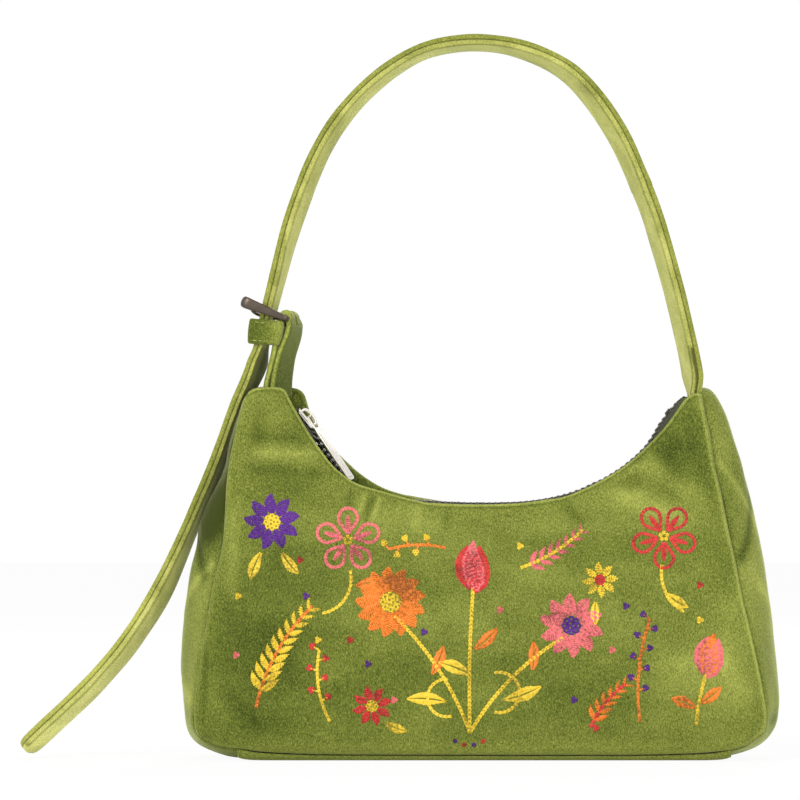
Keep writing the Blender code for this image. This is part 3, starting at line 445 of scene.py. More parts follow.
def noise_node(tree, coords, scale, detail=3.0, roughness=0.5, distortion=0.0, stretch=None):
    node = add(tree, "ShaderNodeTexNoise", Scale=scale, Detail=detail, Roughness=roughness,
               Distortion=distortion)
    source = coords.outputs["Object"]
    if stretch is not None:
        mapping = add(tree, "ShaderNodeMapping")
        mapping.inputs["Scale"].default_value = stretch
        tree.links.new(source, mapping.inputs["Vector"])
        source = mapping.outputs["Vector"]
    tree.links.new(source, node.inputs["Vector"])
    return node


def colour_ramp(tree, shader, source, stops):
    """Colours the shader by a ramp over the source."""
    ramp = add(tree, "ShaderNodeValToRGB")
    elements = ramp.color_ramp.elements
    while len(elements) < len(stops):
        elements.new(0.5)
    for element, (place, colour) in zip(elements, stops):
        element.position = place
        element.color = (*colour, 1)
    tree.links.new(source, ramp.inputs["Fac"])
    link(tree, ramp, "Color", shader, "Base Color")


def bump_chain(tree, shader, layers):
    """Bumps one after another: (height source, strength, distance)."""
    previous = None
    for source, strength, distance in layers:
        bump = add(tree, "ShaderNodeBump", Strength=strength, Distance=distance)
        tree.links.new(source, bump.inputs["Height"])
        if previous is not None:
            link(tree, previous, "Normal", bump, "Normal")
        previous = bump
    link(tree, previous, "Normal", shader, "Normal")


SHEEN_TINT = (0.84, 0.90, 0.46)


def velvet(name, dark, middle, light, sheen, patchy=0.12, streaky=0.08):
    """Velvet: soft brushed patches, a fine upright pile, and a sheen at its edges."""
    mat, tree, shader = new_material(name, roughness=0.9)
    coords = add(tree, "ShaderNodeTexCoord")
    patches = noise_node(tree, coords, 15.0, 3.0, 0.5, 0.8)
    brushed = noise_node(tree, coords, 60.0, 3.0, 0.55, 0.5)
    pile = noise_node(tree, coords, 2200.0, 2.0, 0.6, 0.0, (1, 1, 0.5))
    grain = noise_node(tree, coords, 1500.0, 1.0, 0.5, 0.0, (1, 1, 0.75))
    # The mesh's painted light and shade, with some random tone, shifts the noises that pick the colour
    total = add(tree, "ShaderNodeAttribute", attribute_name="painted_light_and_tone").outputs["Fac"]
    for source, weight in ((patches, patchy), (brushed, streaky), (grain, 0.22),
                           (pile, 0.78 - patchy - streaky)):
        step = add(tree, "ShaderNodeMath", operation="MULTIPLY_ADD")
        step.inputs[1].default_value = weight
        link(tree, source, "Fac", step, 0)
        tree.links.new(total, step.inputs[2])
        total = step.outputs["Value"]
    colour_ramp(tree, shader, total, [(0.28, scaled(dark, 0.42)), (0.39, dark), (0.5, middle),
                                      (0.61, light), (0.74, scaled(light, 1.5))])
    set_sheen(shader, sheen, SHEEN_TINT, 0.12)
    shader.inputs["Sheen Roughness"].default_value = 0.32
    bump_chain(tree, shader, [(brushed.outputs["Fac"], 0.3, 0.0010), (pile.outputs["Fac"], 0.5, 0.00020)])
    return mat


def thread(name, colour, roughness=0.42):
    """Embroidery thread: a gloss across fine plies."""
    mat, tree, shader = new_material(name, roughness)
    coords = add(tree, "ShaderNodeTexCoord")
    fine = noise_node(tree, coords, 900.0, 2.0, 0.5)
    tone = noise_node(tree, coords, 60.0, 2.0, 0.5)
    mixed = add(tree, "ShaderNodeMix", data_type="FLOAT")
    mixed.inputs[0].default_value = 0.5
    link(tree, fine, "Fac", mixed, 2)
    link(tree, tone, "Fac", mixed, 3)
    light = scaled(colour, 1.18, 0.015)
    colour_ramp(tree, shader, mixed.outputs[0], [(0.38, scaled(colour, 0.42)), (0.5, colour),
                                                 (0.62, light)])
    set_sheen(shader, 0.06, light, 0.35)
    bump_chain(tree, shader, [(fine.outputs["Fac"], 0.3, 0.0001)])
    return mat


def metal(name, colour, roughness, wear=0.3):
    """Plated metal: faint brushing, with a little tarnish in its roughness."""
    mat, tree, shader = new_material(name, roughness, 1.0)
    coords = add(tree, "ShaderNodeTexCoord")
    brushing = noise_node(tree, coords, 260.0, 4.0, 0.6, 0.0, (1, 6, 1))
    cloud = noise_node(tree, coords, 120.0, 3.0, 0.5)
    colour_ramp(tree, shader, cloud.outputs["Fac"], [(0.3, scaled(colour, 1 - wear * 0.5)), (0.55, colour),
                                                     (0.8, scaled(colour, 1 + wear * 0.35))])
    spread = add(tree, "ShaderNodeMapRange")
    set_values(spread, {"To Min": max(roughness - 0.1, 0.05), "To Max": roughness + 0.14})
    link(tree, brushing, "Fac", spread, "Value")
    link(tree, spread, "Result", shader, "Roughness")
    bump_chain(tree, shader, [(brushing.outputs["Fac"], 0.08, 0.0001)])
    return mat


def woven(name, dark, light, scale):
    """A plain weave, from two crossed sets of bands."""
    mat, tree, shader = new_material(name, 0.85)
    coords = add(tree, "ShaderNodeTexCoord")
    both = add(tree, "ShaderNodeMath", operation="MULTIPLY")
    for socket, direction in enumerate("XZ"):
        wave = add(tree, "ShaderNodeTexWave", Scale=scale, Distortion=0.4, bands_direction=direction)
        link(tree, coords, "Object", wave, "Vector")
        tree.links.new(wave.outputs["Fac"], both.inputs[socket])
    colour_ramp(tree, shader, both.outputs["Value"], [(0.0, dark), (0.7, light)])
    bump_chain(tree, shader, [(both.outputs["Value"], 0.5, 0.0002)])
    return mat


PANEL_VELVET = velvet("panel_velvet", (0.085, 0.112, 0.015), (0.157, 0.190, 0.030),
                      (0.262, 0.290, 0.058), 0.80)
# Copies of the front's green velvet made lighter as painted light: the gussets' and the pieces sewn to them
# for the light their sheen catches, the strap's for its faces turned to the light. The strap's inner layer
# is a paler green of its own, made lighter still as painted light
SIDE_VELVET_PAINTED_LIGHTER = velvet("side_velvet_painted_lighter", (0.102, 0.132, 0.018), (0.192, 0.226, 0.040),
                     (0.310, 0.338, 0.072), 0.95)
STRAP_VELVET_PAINTED_LIGHTER = velvet("strap_velvet_painted_lighter", (0.109, 0.132, 0.017), (0.208, 0.231, 0.037),
                      (0.350, 0.363, 0.079), 0.90, 0.16, 0.22)
INNER_PALE_VELVET_PAINTED_LIGHTER = velvet("strap_inner_velvet", (0.250, 0.268, 0.055), (0.450, 0.455, 0.118),
                      (0.620, 0.615, 0.205), 0.75, 0.20, 0.34)
SEAM_THREAD = thread("green_thread", (0.100, 0.130, 0.018), 0.6)
PALE_THREAD = thread("pale_green_thread", (0.300, 0.330, 0.080), 0.5)
TAPE_CLOTH = woven("zip_tape_cloth", (0.028, 0.032, 0.016), (0.115, 0.125, 0.062), 900.0)
LINING_CLOTH = woven("lining_cloth", (0.30, 0.27, 0.18), (0.50, 0.46, 0.34), 700.0)
GUNMETAL = metal("gunmetal", (0.058, 0.053, 0.044), 0.24)
PEWTER = metal("pewter", (0.112, 0.090, 0.070), 0.36)
SILVER = metal("ivory_silver", (0.70, 0.665, 0.605), 0.42, 0.15)

# Panels
# Shares of the width and height at which the grid's lines lie closer, beside the seams
EDGE_FINE = (0.0012, 0.0026, 0.0042, 0.0062, 0.0088, 0.012, 0.016)
EDGE_FINE_UP = (0.0015, 0.003, 0.0045, 0.006, 0.0075, 0.009, 0.0106, 0.013, 0.017, 0.022, 0.03)
PANEL_COLUMNS, PANEL_ROWS = 190, 100
CORNER_COLUMNS, CORNER_ROWS = 30, 26
HORN_TOP_PX = 396
PANEL_THICKNESS = 0.0014


def edge_spaced(count, fine):
    fine = np.array(fine)
    wide = np.linspace(fine[-1], 1 - fine[-1], count)
    return np.unique(np.concatenate([[0, 1], fine, 1 - fine, wide]))


def rim(top, angles):
    """Distance of a panel's top from the zip's centre, at angles round it, in metres."""
    x, y = (np.array([p for p in top if p[1] > HORN_TOP_PX], float) - ZIP_CENTRE_PX).T
    return np.interp(angles, np.arctan2(x, y), np.hypot(x, y)) * PX


def panel_edges(top):
    return {"left": Curve(metres(LEFT_SEAM_PX)), "right": Curve(metres(RIGHT_SEAM_PX)),
            "base": Curve(metres(BASE_SEAM_PX)), "top": Curve(metres(top))}


def relax(flat, us, vs, i0, i1, j0, j1):
    """Evens out a block of the grid by solving Laplace's equation inside its border."""
    n, m = i1 - i0 - 1, j1 - j0 - 1
    system = np.zeros((n * m, n * m))
    known = np.zeros((n * m, 2))
    for a in range(n):
        for b in range(m):
            i, j, k = i0 + 1 + a, j0 + 1 + b, a * m + b
            for values, index, di, dj in ((us, i, 1, 0), (vs, j, 0, 1)):
                back, ahead = values[index] - values[index - 1], values[index + 1] - values[index]
                for step, weight in ((-1, 2 / (back * (back + ahead))), (1, 2 / (ahead * (back + ahead)))):
                    system[k, k] -= weight
                    p, q = i + step * di, j + step * dj
                    if i0 < p < i1 and j0 < q < j1:
                        system[k, (p - i0 - 1) * m + q - j0 - 1] += weight
                    else:
                        known[k] -= weight * flat[p, q]
    flat[i0 + 1:i1, j0 + 1:j1] = np.linalg.solve(system, known).reshape(n, m, 2)


# Patches of painted light and shade on the panels, laid out for the front and standing for the light its
# brushed pile catches: centre, reach across and up, and how much lighter
PANEL_PAINTED_LIGHT_PATCHES = [
    ((668, 452), (44, 42), -0.06), ((640, 505), (70, 26), 0.05), ((270, 620), (60, 70), -0.09),
    ((240, 700), (50, 50), -0.06), ((690, 425), (20, 40), -0.03), ((700, 650), (60, 60), 0.06),
    ((470, 560), (130, 60), 0.05), ((330, 500), (50, 22), -0.04), ((285, 455), (34, 14), 0.05),
    ((284, 430), (34, 8), -0.03), ((480, 715), (180, 26), -0.03), ((480, 748), (300, 7), 0.05),
    ((400, 520), (60, 16), 0.04), ((560, 600), (60, 90), -0.02)]


def beside_line(points, a, b):
    """How far along the line from a to b each point lies, and its distance from the line."""
    run = b - a
    t = ((points - a) @ run) / run.dot(run)
    return t, np.linalg.norm(points - a - np.clip(t, 0, 1)[..., None] * run, axis=-1)


def crease(flat, start, end, width, height):
    """A soft fold of the cloth from one pixel to another, that fades at both ends."""
    t, away = beside_line(flat, metres(start), metres(end))
    return height * bell(away, 0, width) * ease((t + 0.15) / 0.4) * ease((1.15 - t) / 0.4)


def pucker(distance, reach, start):
    """How strongly cloth puckers at a distance from a seam: not at the seam, most beside it."""
    return np.exp(-distance / reach) * (1 - np.exp(-distance / start))


def roll(distances, radius, drop):
    """How far cloth falls into seams at these distances from it."""
    t = np.sqrt(np.clip(sum((1 - np.minimum(d / radius, 1)) ** 2 for d in distances), 0, 1))
    return drop * (1 - np.sqrt(1 - t ** 2))


# Creases of the front: start, end, width and height
FRONT_CREASES = [
    ((366, 492), (358, 516), 0.0012, 0.0009), ((374, 494), (366, 522), 0.0011, -0.0008),
    ((381, 495), (372, 520), 0.0012, 0.0009), ((352, 489), (349, 508), 0.0014, -0.0006),
    ((420, 503), (414, 530), 0.0022, 0.0006), ((448, 506), (446, 530), 0.0020, -0.0005),
    ((606, 474), (655, 463), 0.0026, 0.0007), ((560, 500), (584, 524), 0.0022, -0.0006),
    ((598, 488), (640, 482), 0.0030, -0.0006), ((640, 448), (668, 470), 0.0022, 0.0006),
    ((250, 436), (312, 441), 0.0022, -0.0006), ((252, 452), (320, 456), 0.0024, 0.0007),
    ((246, 466), (330, 474), 0.0026, -0.0006), ((600, 484), (690, 522), 0.0046, 0.0008),
    ((662, 430), (676, 500), 0.0060, -0.0004), ((690, 420), (712, 500), 0.0040, -0.0004),
    ((640, 462), (700, 500), 0.0040, 0.0008), ((226, 690), (262, 735), 0.0040, -0.0007),
    ((712, 640), (745, 700), 0.0045, 0.0006), ((235, 500), (232, 600), 0.0032, 0.0006),
    ((206, 640), (203, 725), 0.0012, -0.0005), ((262, 405), (259, 450), 0.0030, -0.0005)]


def painted_light_patches(flat, painted_zones):
    """Soft round patches of painted light and shade, each lighter by its amount."""
    total = np.zeros(flat.shape[:2])
    for px, reach, amount in painted_zones:
        away = (flat - metres(px)) / (np.array(reach) * PX)
        total = total + amount * np.exp(-(away ** 2).sum(-1))
    return total


# Stores painted light and shade, with some random tone, at each point for the velvet's colour
def set_painted_light_and_tone(obj, values):
    layer = obj.data.attributes.new("painted_light_and_tone", "FLOAT", "POINT")
    layer.data.foreach_set("value", np.asarray(values, np.float32).ravel())


# Puckers beside a panel's seams: their reach, height and pitch along the seam
PUCKERS = {"left": (0.010, 0.00055, 0.0065), "right": (0.010, 0.00050, 0.0070),
           "base": (0.012, 0.00060, 0.0080), "top": (0.007, 0.00022, 0.0060)}
# Waves of the padding, and cloudy shades of the pile
PANEL_WAVES = ((0.0010, 0.040, 0.034, 3, 11), (0.00042, 0.017, 0.015, 21, 5),
               (0.00014, 0.0062, 0.0055, 9, 31))
PANEL_SHADES = ((0.05, 0.030, 0.013, 40, 7), (0.03, 0.011, 0.006, 17, 23))
SIDE_WAVES = ((0.0006, 0.030, 0.016, 0, 20), (0.0003, 0.013, 0.008, 0, 40))
SIDE_SHADES = ((0.05, 0.022, 0.020, 7, 3), (0.03, 0.010, 0.010, 0, 50))
SEAM_ROLL, TOP_ROLL, TOP_DROP, STITCH_GROOVE = 0.0036, 0.0012, 0.0010, 0.00042
SEAM_WELT = (0.00040, 0.0062, 0.0016)
# How much the creases lift the cloth, and how strongly painted light and shade follow their heights; the
# same for the gussets' folds
FOLD_GAIN, FOLD_PAINTED_SHADE = 1.5, 130
SIDE_FOLD_GAIN, SIDE_FOLD_PAINTED_SHADE = 0.2, 110
# The gussets' swelling, their roll into the seams, and their puckers: height, reach, start and pitch
SWELL_POWER = 2.2
SIDE_ROLL, SIDE_INSET = (0.0030, 0.0013), 0.0002
SIDE_PUCKER = (0.0007, 0.007, 0.0016, 0.0068)
SIDE_LEAN = 0.0022


GROOVE_WIDTH, PUCKER_START, HELD_WITHIN = 0.00042, 0.0018, 0.008
# Painted highlights and painted shade along the rims: how much lighter, beside which seam, how far in and
# how wide
RIM_PAINTED_LIGHT_AND_SHADE = ((0.05, "any", 0.0008, 0.0010), (0.12, "right", 0.0009, 0.0008), (0.10, "top", 0.0006, 0.0006),
              (-0.10, "top", EDGE_ROLL, 0.0005))


def panel(name, facing, top_px, seed, creases):
    """A velvet panel: a grid between its four seams, rolled into them and puckered beside them."""
    edges = panel_edges(top_px)
    us, vs = edge_spaced(PANEL_COLUMNS, EDGE_FINE), edge_spaced(PANEL_ROWS, EDGE_FINE_UP)
    u, v = us[:, None, None], vs[None, :, None]
    left, right = edges["left"].share(vs)[None], edges["right"].share(vs)[None]
    base, top = edges["base"].share(us)[:, None], edges["top"].share(us)[:, None]
    corners = ((1 - u) * (1 - v) * base[0, 0] + u * (1 - v) * base[-1, 0]
               + (1 - u) * v * top[0, 0] + u * v * top[-1, 0])
    flat = (1 - u) * left + u * right + (1 - v) * base + v * top - corners
    for first in (0, len(us) - 1 - CORNER_COLUMNS):
        relax(flat, us, vs, first, first + CORNER_COLUMNS, 0, CORNER_ROWS)
    depth = half_depth(flat[..., 0], flat[..., 1])
    place = seen(flat, depth)
    points = np.stack([place[..., 0], -depth, place[..., 1]], -1)
    normals = grid_normals(points)
    if normals[..., 1].mean() > 0:
        normals = -normals
    near = {key: edge.nearest(flat) for key, edge in edges.items()}
    away = {key: distance for key, (distance, _) in near.items()}
    nearest = np.minimum.reduce(list(away.values()))
    # Rolled into the seams, with a groove where the stitches under the top edge pull it in
    lift = -roll([away[k] for k in ("left", "right", "base")], SEAM_ROLL, SEAM_DEPTH)
    lift = lift - roll([away["top"]], TOP_ROLL, TOP_DROP)
    lift = lift - STITCH_GROOVE * bell(away["top"], EDGE_ROLL, GROOVE_WIDTH)
    noise = Noise(seed)
    for k, (key, (reach, size, pitch)) in enumerate(PUCKERS.items()):
        d, s = near[key]
        lift = lift + size * pucker(d, reach, PUCKER_START) * noise.at(s / pitch, 7 * k + d / 0.02)
        if key in ("left", "right"):
            lift = lift + SEAM_WELT[0] * bell(d, *SEAM_WELT[1:])
    # The padding's waves are held flat at the seams
    x, z = flat[..., 0], flat[..., 1]
    held = 1 - np.exp(-nearest / HELD_WITHIN)
    lift = lift + held * noise.layers(x, z, PANEL_WAVES)
    folds = sum(crease(flat, *fold) for fold in creases) * (1 - np.exp(-away["top"] / 0.002))
    lift = lift + FOLD_GAIN * folds
    points = points + normals * lift[..., None]
    points[..., 1] *= -facing
    obj = grid_object(name, points, PANEL_VELVET, (0, facing, 0), PANEL_THICKNESS)
    away["any"] = nearest
    # Painted highlights and shade along the rims, painted light and shade in patches and along the creases,
    # over a random cloudy tone
    painted_rims = [gain * bell(away[key], *band) for gain, key, *band in RIM_PAINTED_LIGHT_AND_SHADE]
    shade = painted_light_patches(flat, PANEL_PAINTED_LIGHT_PATCHES) + held * noise.layers(x, z, PANEL_SHADES) + FOLD_PAINTED_SHADE * folds
    set_painted_light_and_tone(obj, sum(painted_rims, shade))
    return obj, points, edges


front, FRONT_POINTS, EDGES = panel("front_velvet", -1, FRONT_TOP_PX, 11, FRONT_CREASES)
back, BACK_POINTS, _ = panel("back_velvet", 1, BACK_TOP_PX, 23, FRONT_CREASES[3:12])


def side_lines(side):
    """Up one side from the base: the seam line and the gusset's middle, in the picture's plane."""
    edge = EDGES["left" if side < 0 else "right"]
    base = EDGES["base"]
    ends = base.points[:, 0]
    inner = base.points[ends < BASE_END_X[0]][::-1] if side < 0 else base.points[ends > BASE_END_X[1]]
    lap = metres(FRONT_TOP_PX[:4] if side < 0 else [(701.5, 393.5), (697.8, 393.3)])
    seam = np.vstack([inner[::3], edge.points[1:], lap[1:]])
    middle = Curve(metres(LEFT_SIDE_PX if side < 0 else RIGHT_SIDE_PX))
    return Curve(seam, 2), Curve(smoothed(middle, 0.009), 2)


def across_shares(count):
    """Places across a strip, from -1 to 1, closer together towards both sides."""
    return np.sin(np.linspace(-math.pi / 2, math.pi / 2, count))


def gusset(name, side, seed, folds, painted_zones):
    """A side wall that swells out between the seams and puckers beside them."""
    seam, middle = side_lines(side)
    run, widths = np.linspace(0, 1, 210), across_shares(45)
    outer, inner = seam.share(run), middle.share(run)
    depth = np.maximum(half_depth(outer[:, 0], outer[:, 1]) - SEAM_DEPTH, 0.0)
    swell = (1 - np.abs(widths) ** SWELL_POWER)[None, :, None]
    flat = seen(outer, depth)[:, None] * (1 - swell) + inner[:, None] * swell
    points = np.stack([flat[..., 0], depth[:, None] * widths, flat[..., 1]], -1)
    normals = grid_normals(points)
    if (normals[..., 0] * side).mean() < 0:
        normals = -normals
    away = (1 - np.abs(widths))[None] * depth[:, None]
    s = (run * seam.length)[:, None]
    noise = Noise(seed)
    height, reach, start, pitch = SIDE_PUCKER
    lift = -roll([away], *SIDE_ROLL) - SIDE_INSET
    lift = lift + height * pucker(away, reach, start) * noise.at(
        s / pitch, np.sign(widths)[None] * 5 + 9 + away / 0.02)
    lift = lift + (1 - np.exp(-away / 0.006)) * noise.layers(s, points[..., 1], SIDE_WAVES)
    shade = noise.layers(s, points[..., 1], SIDE_SHADES)
    # Painted shade along the seams, and the given patches of painted light and shade
    shade = shade - 0.10 * np.exp(-away / 0.0010) + painted_light_patches(flat, painted_zones)
    place = np.stack(np.broadcast_arrays(run[:, None], widths[None] * 0.25), -1)
    # Each fold lifts the cloth, and painted light and shade follow it
    for start, end, width, height in folds:
        _, gap = beside_line(place, np.array(start), np.array(end))
        shape = bell(gap, 0, width)
        lift = lift + SIDE_FOLD_GAIN * height * shape
        shade = shade + SIDE_FOLD_PAINTED_SHADE * height * shape
    # Calmer near both ends of the seams
    fade = ease(np.minimum(run, 1 - run) / 0.03)[:, None]
    points = points + normals * (lift * (0.3 + 0.7 * fade))[..., None]
    points[..., 2] = np.maximum(points[..., 2], 0.0)
    # The left one's upper end leans with the strap's root
    if side < 0:
        points[..., 0] += SIDE_LEAN * widths[None] * ease((run - 0.955) / 0.04)[:, None]
    # Turned in behind the panels, so that no gap shows at the seams
    lap = np.array([-side * GUSSET_LAP, 0.0, 0.0])
    lapped = np.concatenate([points[:, :1] + lap, points, points[:, -1:] + lap], axis=1)
    obj = grid_object(name, lapped, SIDE_VELVET_PAINTED_LIGHTER, (side, 0, 0), 0.0012)
    set_painted_light_and_tone(obj, np.pad(shade, ((0, 0), (1, 1)), mode="edge"))
    return obj


# Folds of the gussets, in shares of their height and width: start, end, width, height
LEFT_FOLDS = [((0.50, -0.2), (0.66, 0.02), 0.018, -0.0016), ((0.42, 0.0), (0.52, -0.22), 0.016, 0.0012),
              ((0.20, -0.2), (0.34, 0.1), 0.02, 0.0010), ((0.12, 0.2), (0.28, -0.05), 0.02, -0.0010)]
RIGHT_FOLDS = [((0.56, -0.22), (0.76, 0.0), 0.018, -0.0016), ((0.60, -0.05), (0.80, -0.22), 0.016, 0.0010),
               ((0.30, 0.15), (0.48, -0.15), 0.02, 0.0012), ((0.14, -0.2), (0.22, 0.15), 0.018, -0.0012)]
# Painted shadow in the left gusset's hollow behind the tail, and painted light on the right gusset: centre,
# reach across and up, and how much lighter
LEFT_PAINTED_SHADOW = [((210, 496), (15, 42), -0.70), ((222, 440), (10, 40), -0.60)]
RIGHT_PAINTED_LIGHT = [((752, 560), (22, 80), 0.05), ((768, 690), (20, 60), 0.05)]
left_side = gusset("left_gusset_velvet", -1, 31, LEFT_FOLDS, LEFT_PAINTED_SHADOW)
right_side = gusset("right_gusset_velvet", 1, 47, RIGHT_FOLDS, RIGHT_PAINTED_LIGHT)


def base_cloth():
    """The underside: flat where it rests, its long edges rising into the seams."""
    end_gap, end_rise, end_reach, side_reach = 0.0003, 0.0014, 0.0030, 0.004
    xs = np.linspace(BASE_END_X[0] + end_gap, BASE_END_X[1] - end_gap, 120)
    seam = EDGES["base"]
    order = np.argsort(seam.points[:, 0])
    rise = np.interp(xs, seam.points[order, 0], seam.points[order, 1])
    depth = half_depth(xs, rise) - SEAM_DEPTH
    widths = across_shares(31)
    z_edge = seen(np.stack([xs, rise], -1), depth)[:, 1]
    away = (1 - np.abs(widths))[None] * depth[:, None]
    ends = np.minimum(xs - xs[0], xs[-1] - xs)[:, None]
    z = z_edge[:, None] * roll([away], side_reach, 1) + end_rise * np.exp(-ends / end_reach)
    points = np.stack(np.broadcast_arrays(xs[:, None], widths[None] * depth[:, None], z), -1)
    return grid_object("base_velvet", points, SIDE_VELVET_PAINTED_LIGHTER, (0, 0, -1), PANEL_THICKNESS)


base = base_cloth()
for obj, slot, *nodes in ((front, "velvet_green", "front_panel", "front_foam"),
                          (back, "velvet_green", "back_panel", "back_foam"),
                          (left_side, "velvet_deep_green", "left_gusset"),
                          (right_side, "velvet_deep_green", "right_gusset"),
                          (base, "velvet_deep_green", "base_panel", "base_board")):
    dress(obj, slot, *nodes)


FACING_SAG = 0.0020


def facing_strip(name, px):
    """The turned-in cloth that closes the top of a horn beside the strap's root."""
    line = Curve(metres(px)).share(np.linspace(0, 1, 14))
    depth = half_depth(line[:, 0], line[:, 1]) - 0.0016
    widths = np.linspace(-1, 1, 15)
    points = np.stack(np.broadcast_arrays(line[:, None, 0], depth[:, None] * widths[None],
                                          line[:, None, 1] - FACING_SAG * (1 - widths[None] ** 2)), -1)
    dress(grid_object(name, points, SIDE_VELVET_PAINTED_LIGHTER, (0, 0, 1), 0.0010), "velvet_deep_green")


facing_strip("left_horn_facing", [(281, 393), (286, 400), (292.5, 412)])
facing_strip("right_horn_facing", [(674.5, 415), (680, 404), (684, 398)])


LINING_INSET = 0.0052


def lining():
    """The lining inside the body, as one closed bag under the zip."""
    layers = []
    for points, inward in ((FRONT_POINTS, 1), (BACK_POINTS, -1)):
        inner = points[4:-4, 4:-20][::6, ::6].copy()
        inner[..., 1] += inward * LINING_INSET
        layers.append(inner)
    rows, columns = layers[0].shape[:2]
    verts = np.concatenate([layer.reshape(-1, 3) for layer in layers])
    faces = [tuple(f) for f in grid_faces(rows, columns)]
    faces += [tuple(f + rows * columns) for f in grid_faces(rows, columns, flip=True)]
    border = ([(0, j) for j in range(columns - 1, 0, -1)] + [(i, 0) for i in range(rows)]
              + [(rows - 1, j) for j in range(1, columns)])
    index = [i * columns + j for i, j in border]
    faces += [(a, b, b + rows * columns, a + rows * columns) for a, b in zip(index, index[1:])]
    dress(mesh_object("lining_bag", verts, faces, LINING_CLOTH), "lining_cloth", "lining_front",
          "lining_back", "lining_band")


lining()


# Zip
def chain_roll(angle):
    """How far the chain tips towards the front."""
    return np.radians(np.interp(np.degrees(angle), ROLL_DEGREES, ROLL_ANGLES))


def arc_point(angle, y, height=0.0, bow=True):
    """A point of the zip, by its angle, its place across the chain and its height over it."""
    angle, y, height = np.broadcast_arrays(angle, y, height)
    if bow:
        tip = chain_roll(angle)
        y, height = y * np.cos(tip) - height * np.sin(tip), height * np.cos(tip) + y * np.sin(tip)
    radius = ZIP_RADIUS - height + (np.interp(np.degrees(angle), BOW_DEGREES, BOW_PX) * PX if bow else 0)
    return np.stack([ZIP_CENTRE[0] + radius * np.sin(angle), y, ZIP_CENTRE[1] - radius * np.cos(angle)], -1)


def inside_panel(angles, radius, inset):
    """Points under a panel's surface, at angles and distances round the zip's centre."""
    x = ZIP_CENTRE[0] + radius * np.sin(angles)
    z = ZIP_CENTRE[1] - radius * np.cos(angles)
    return np.stack([x, half_depth(x, z) - inset, z], -1)


def zip_strip(name, facing, columns, mat, thickness):
    """A strip along the zip, from columns of points drawn on the side that faces back."""
    points = np.stack(columns, 1)
    points[..., 1] *= facing
    return grid_object(name, points, mat, (0, 0, 1), thickness)


# Across a tape, from the teeth outwards: place and height
TAPE_SECTION = ((0.0024, 0.0003), (0.0030, 0.0007), (0.0036, 0.0007), (0.0041, 0.0003), (0.0044, 0.0002),
                (0.0050, 0.0002))


def zip_tape(side, facing, top):
    """Tape from the teeth's bead, over its flat strip and down inside the panel's edge."""
    angles = np.linspace(ZIP_START, ZIP_END + TAPE_PAST_END, 130)
    columns = [arc_point(angles, y * facing, h) * (1, facing, 1) for y, h in TAPE_SECTION]
    for reach in (0.0012, 0.0040, 0.0080):
        radius = np.maximum(rim(top, angles) + reach + 0.0012, ZIP_RADIUS + reach)
        columns.append(inside_panel(angles, radius, 0.0034))
    dress(zip_strip(f"zip_tape_{side}_cloth", facing, columns, TAPE_CLOTH, 0.0005), "tape_dark",
          "zip_tape_" + side)


HEM_END = math.radians(14)
HEM_DROP = 0.0009


def zip_hem(side, facing, top):
    """The panel's velvet turned in over the tape's outer strip."""
    angles = np.linspace(ZIP_START, HEM_END, 110)
    columns = [inside_panel(angles, rim(top, angles) + reach, inset)
               for reach, inset in ((0.0007, 0.0006), (0.0002, 0.0015), (0.0003, 0.0026), (0.0010, 0.0034))]
    for y, h in ((0.0056, 0.0009), (0.0050, 0.0006)):
        spot = arc_point(angles, y * facing, h) * (1, facing, 1)
        arm = spot[:, (0, 2)] - ZIP_CENTRE
        low = np.maximum(1, (rim(top, angles) + HEM_DROP) / np.linalg.norm(arm, axis=1))
        spot[:, (0, 2)] = ZIP_CENTRE + arm * low[:, None]
        columns.append(spot)
    hem = zip_strip("zip_hem_" + side, facing, columns, SIDE_VELVET_PAINTED_LIGHTER, 0.0006)
    # Painted highlight along the hem's crest, and painted shade deeper in
    set_painted_light_and_tone(hem, np.tile([0.08, 0.05, -0.02, -0.12, -0.26, -0.34], len(angles)))
    dress(hem, "velvet_green")


TOOTH_PITCH = 0.0028
FIRST_TOOTH = 0.0033
PAST_LAST_TOOTH = 0.0020
# A tooth's clamp and neck: length, reach from and to across the chain, and half height
TOOTH_BLOCKS = ((0.00150, 0.0021, 0.0040, 0.00105), (0.00125, 0.0008, 0.0024, 0.00080))
TOOTH_BEVEL = 0.00028
KNOB_RADIUS, KNOB_AT = 0.00034, (0, 0.00125, 0.00076)


def tooth_mesh():
    """One zip tooth, on its side of the chain: a clamp on the tape, a neck and a rounded head."""
    bm = bmesh.new()
    for length, low, high, half_height in TOOTH_BLOCKS:
        made = bmesh.ops.create_cube(bm, size=1.0)["verts"]
        bmesh.ops.scale(bm, vec=(length, high - low, 2 * half_height), verts=made)
        bmesh.ops.translate(bm, vec=(0, (low + high) / 2, 0), verts=made)
    bmesh.ops.bevel(bm, geom=bm.edges[:], offset=TOOTH_BEVEL, segments=2, affect="EDGES", profile=0.6)
    knob = bmesh.ops.create_uvsphere(bm, u_segments=8, v_segments=5, radius=KNOB_RADIUS)["verts"]
    bmesh.ops.translate(bm, vec=KNOB_AT, verts=knob)
    mesh = bpy.data.meshes.new("tooth")
    bm.to_mesh(mesh)
    bm.free()
    verts = np.array([v.co[:] for v in mesh.vertices])
    faces = [tuple(p.vertices) for p in mesh.polygons]
    bpy.data.meshes.remove(mesh)
    return in_order(verts, faces)


def in_order(verts, faces):
    """The same mesh sorted by place, because a bevel's order isn't the same in every run."""
    order = np.lexsort(np.round(verts, 8).T)
    rank = np.argsort(order).tolist()
    ranked = [[rank[i] for i in face] for face in faces]
    firsts = [face.index(min(face)) for face in ranked]
    return verts[order], sorted(tuple(face[k:] + face[:k]) for face, k in zip(ranked, firsts))


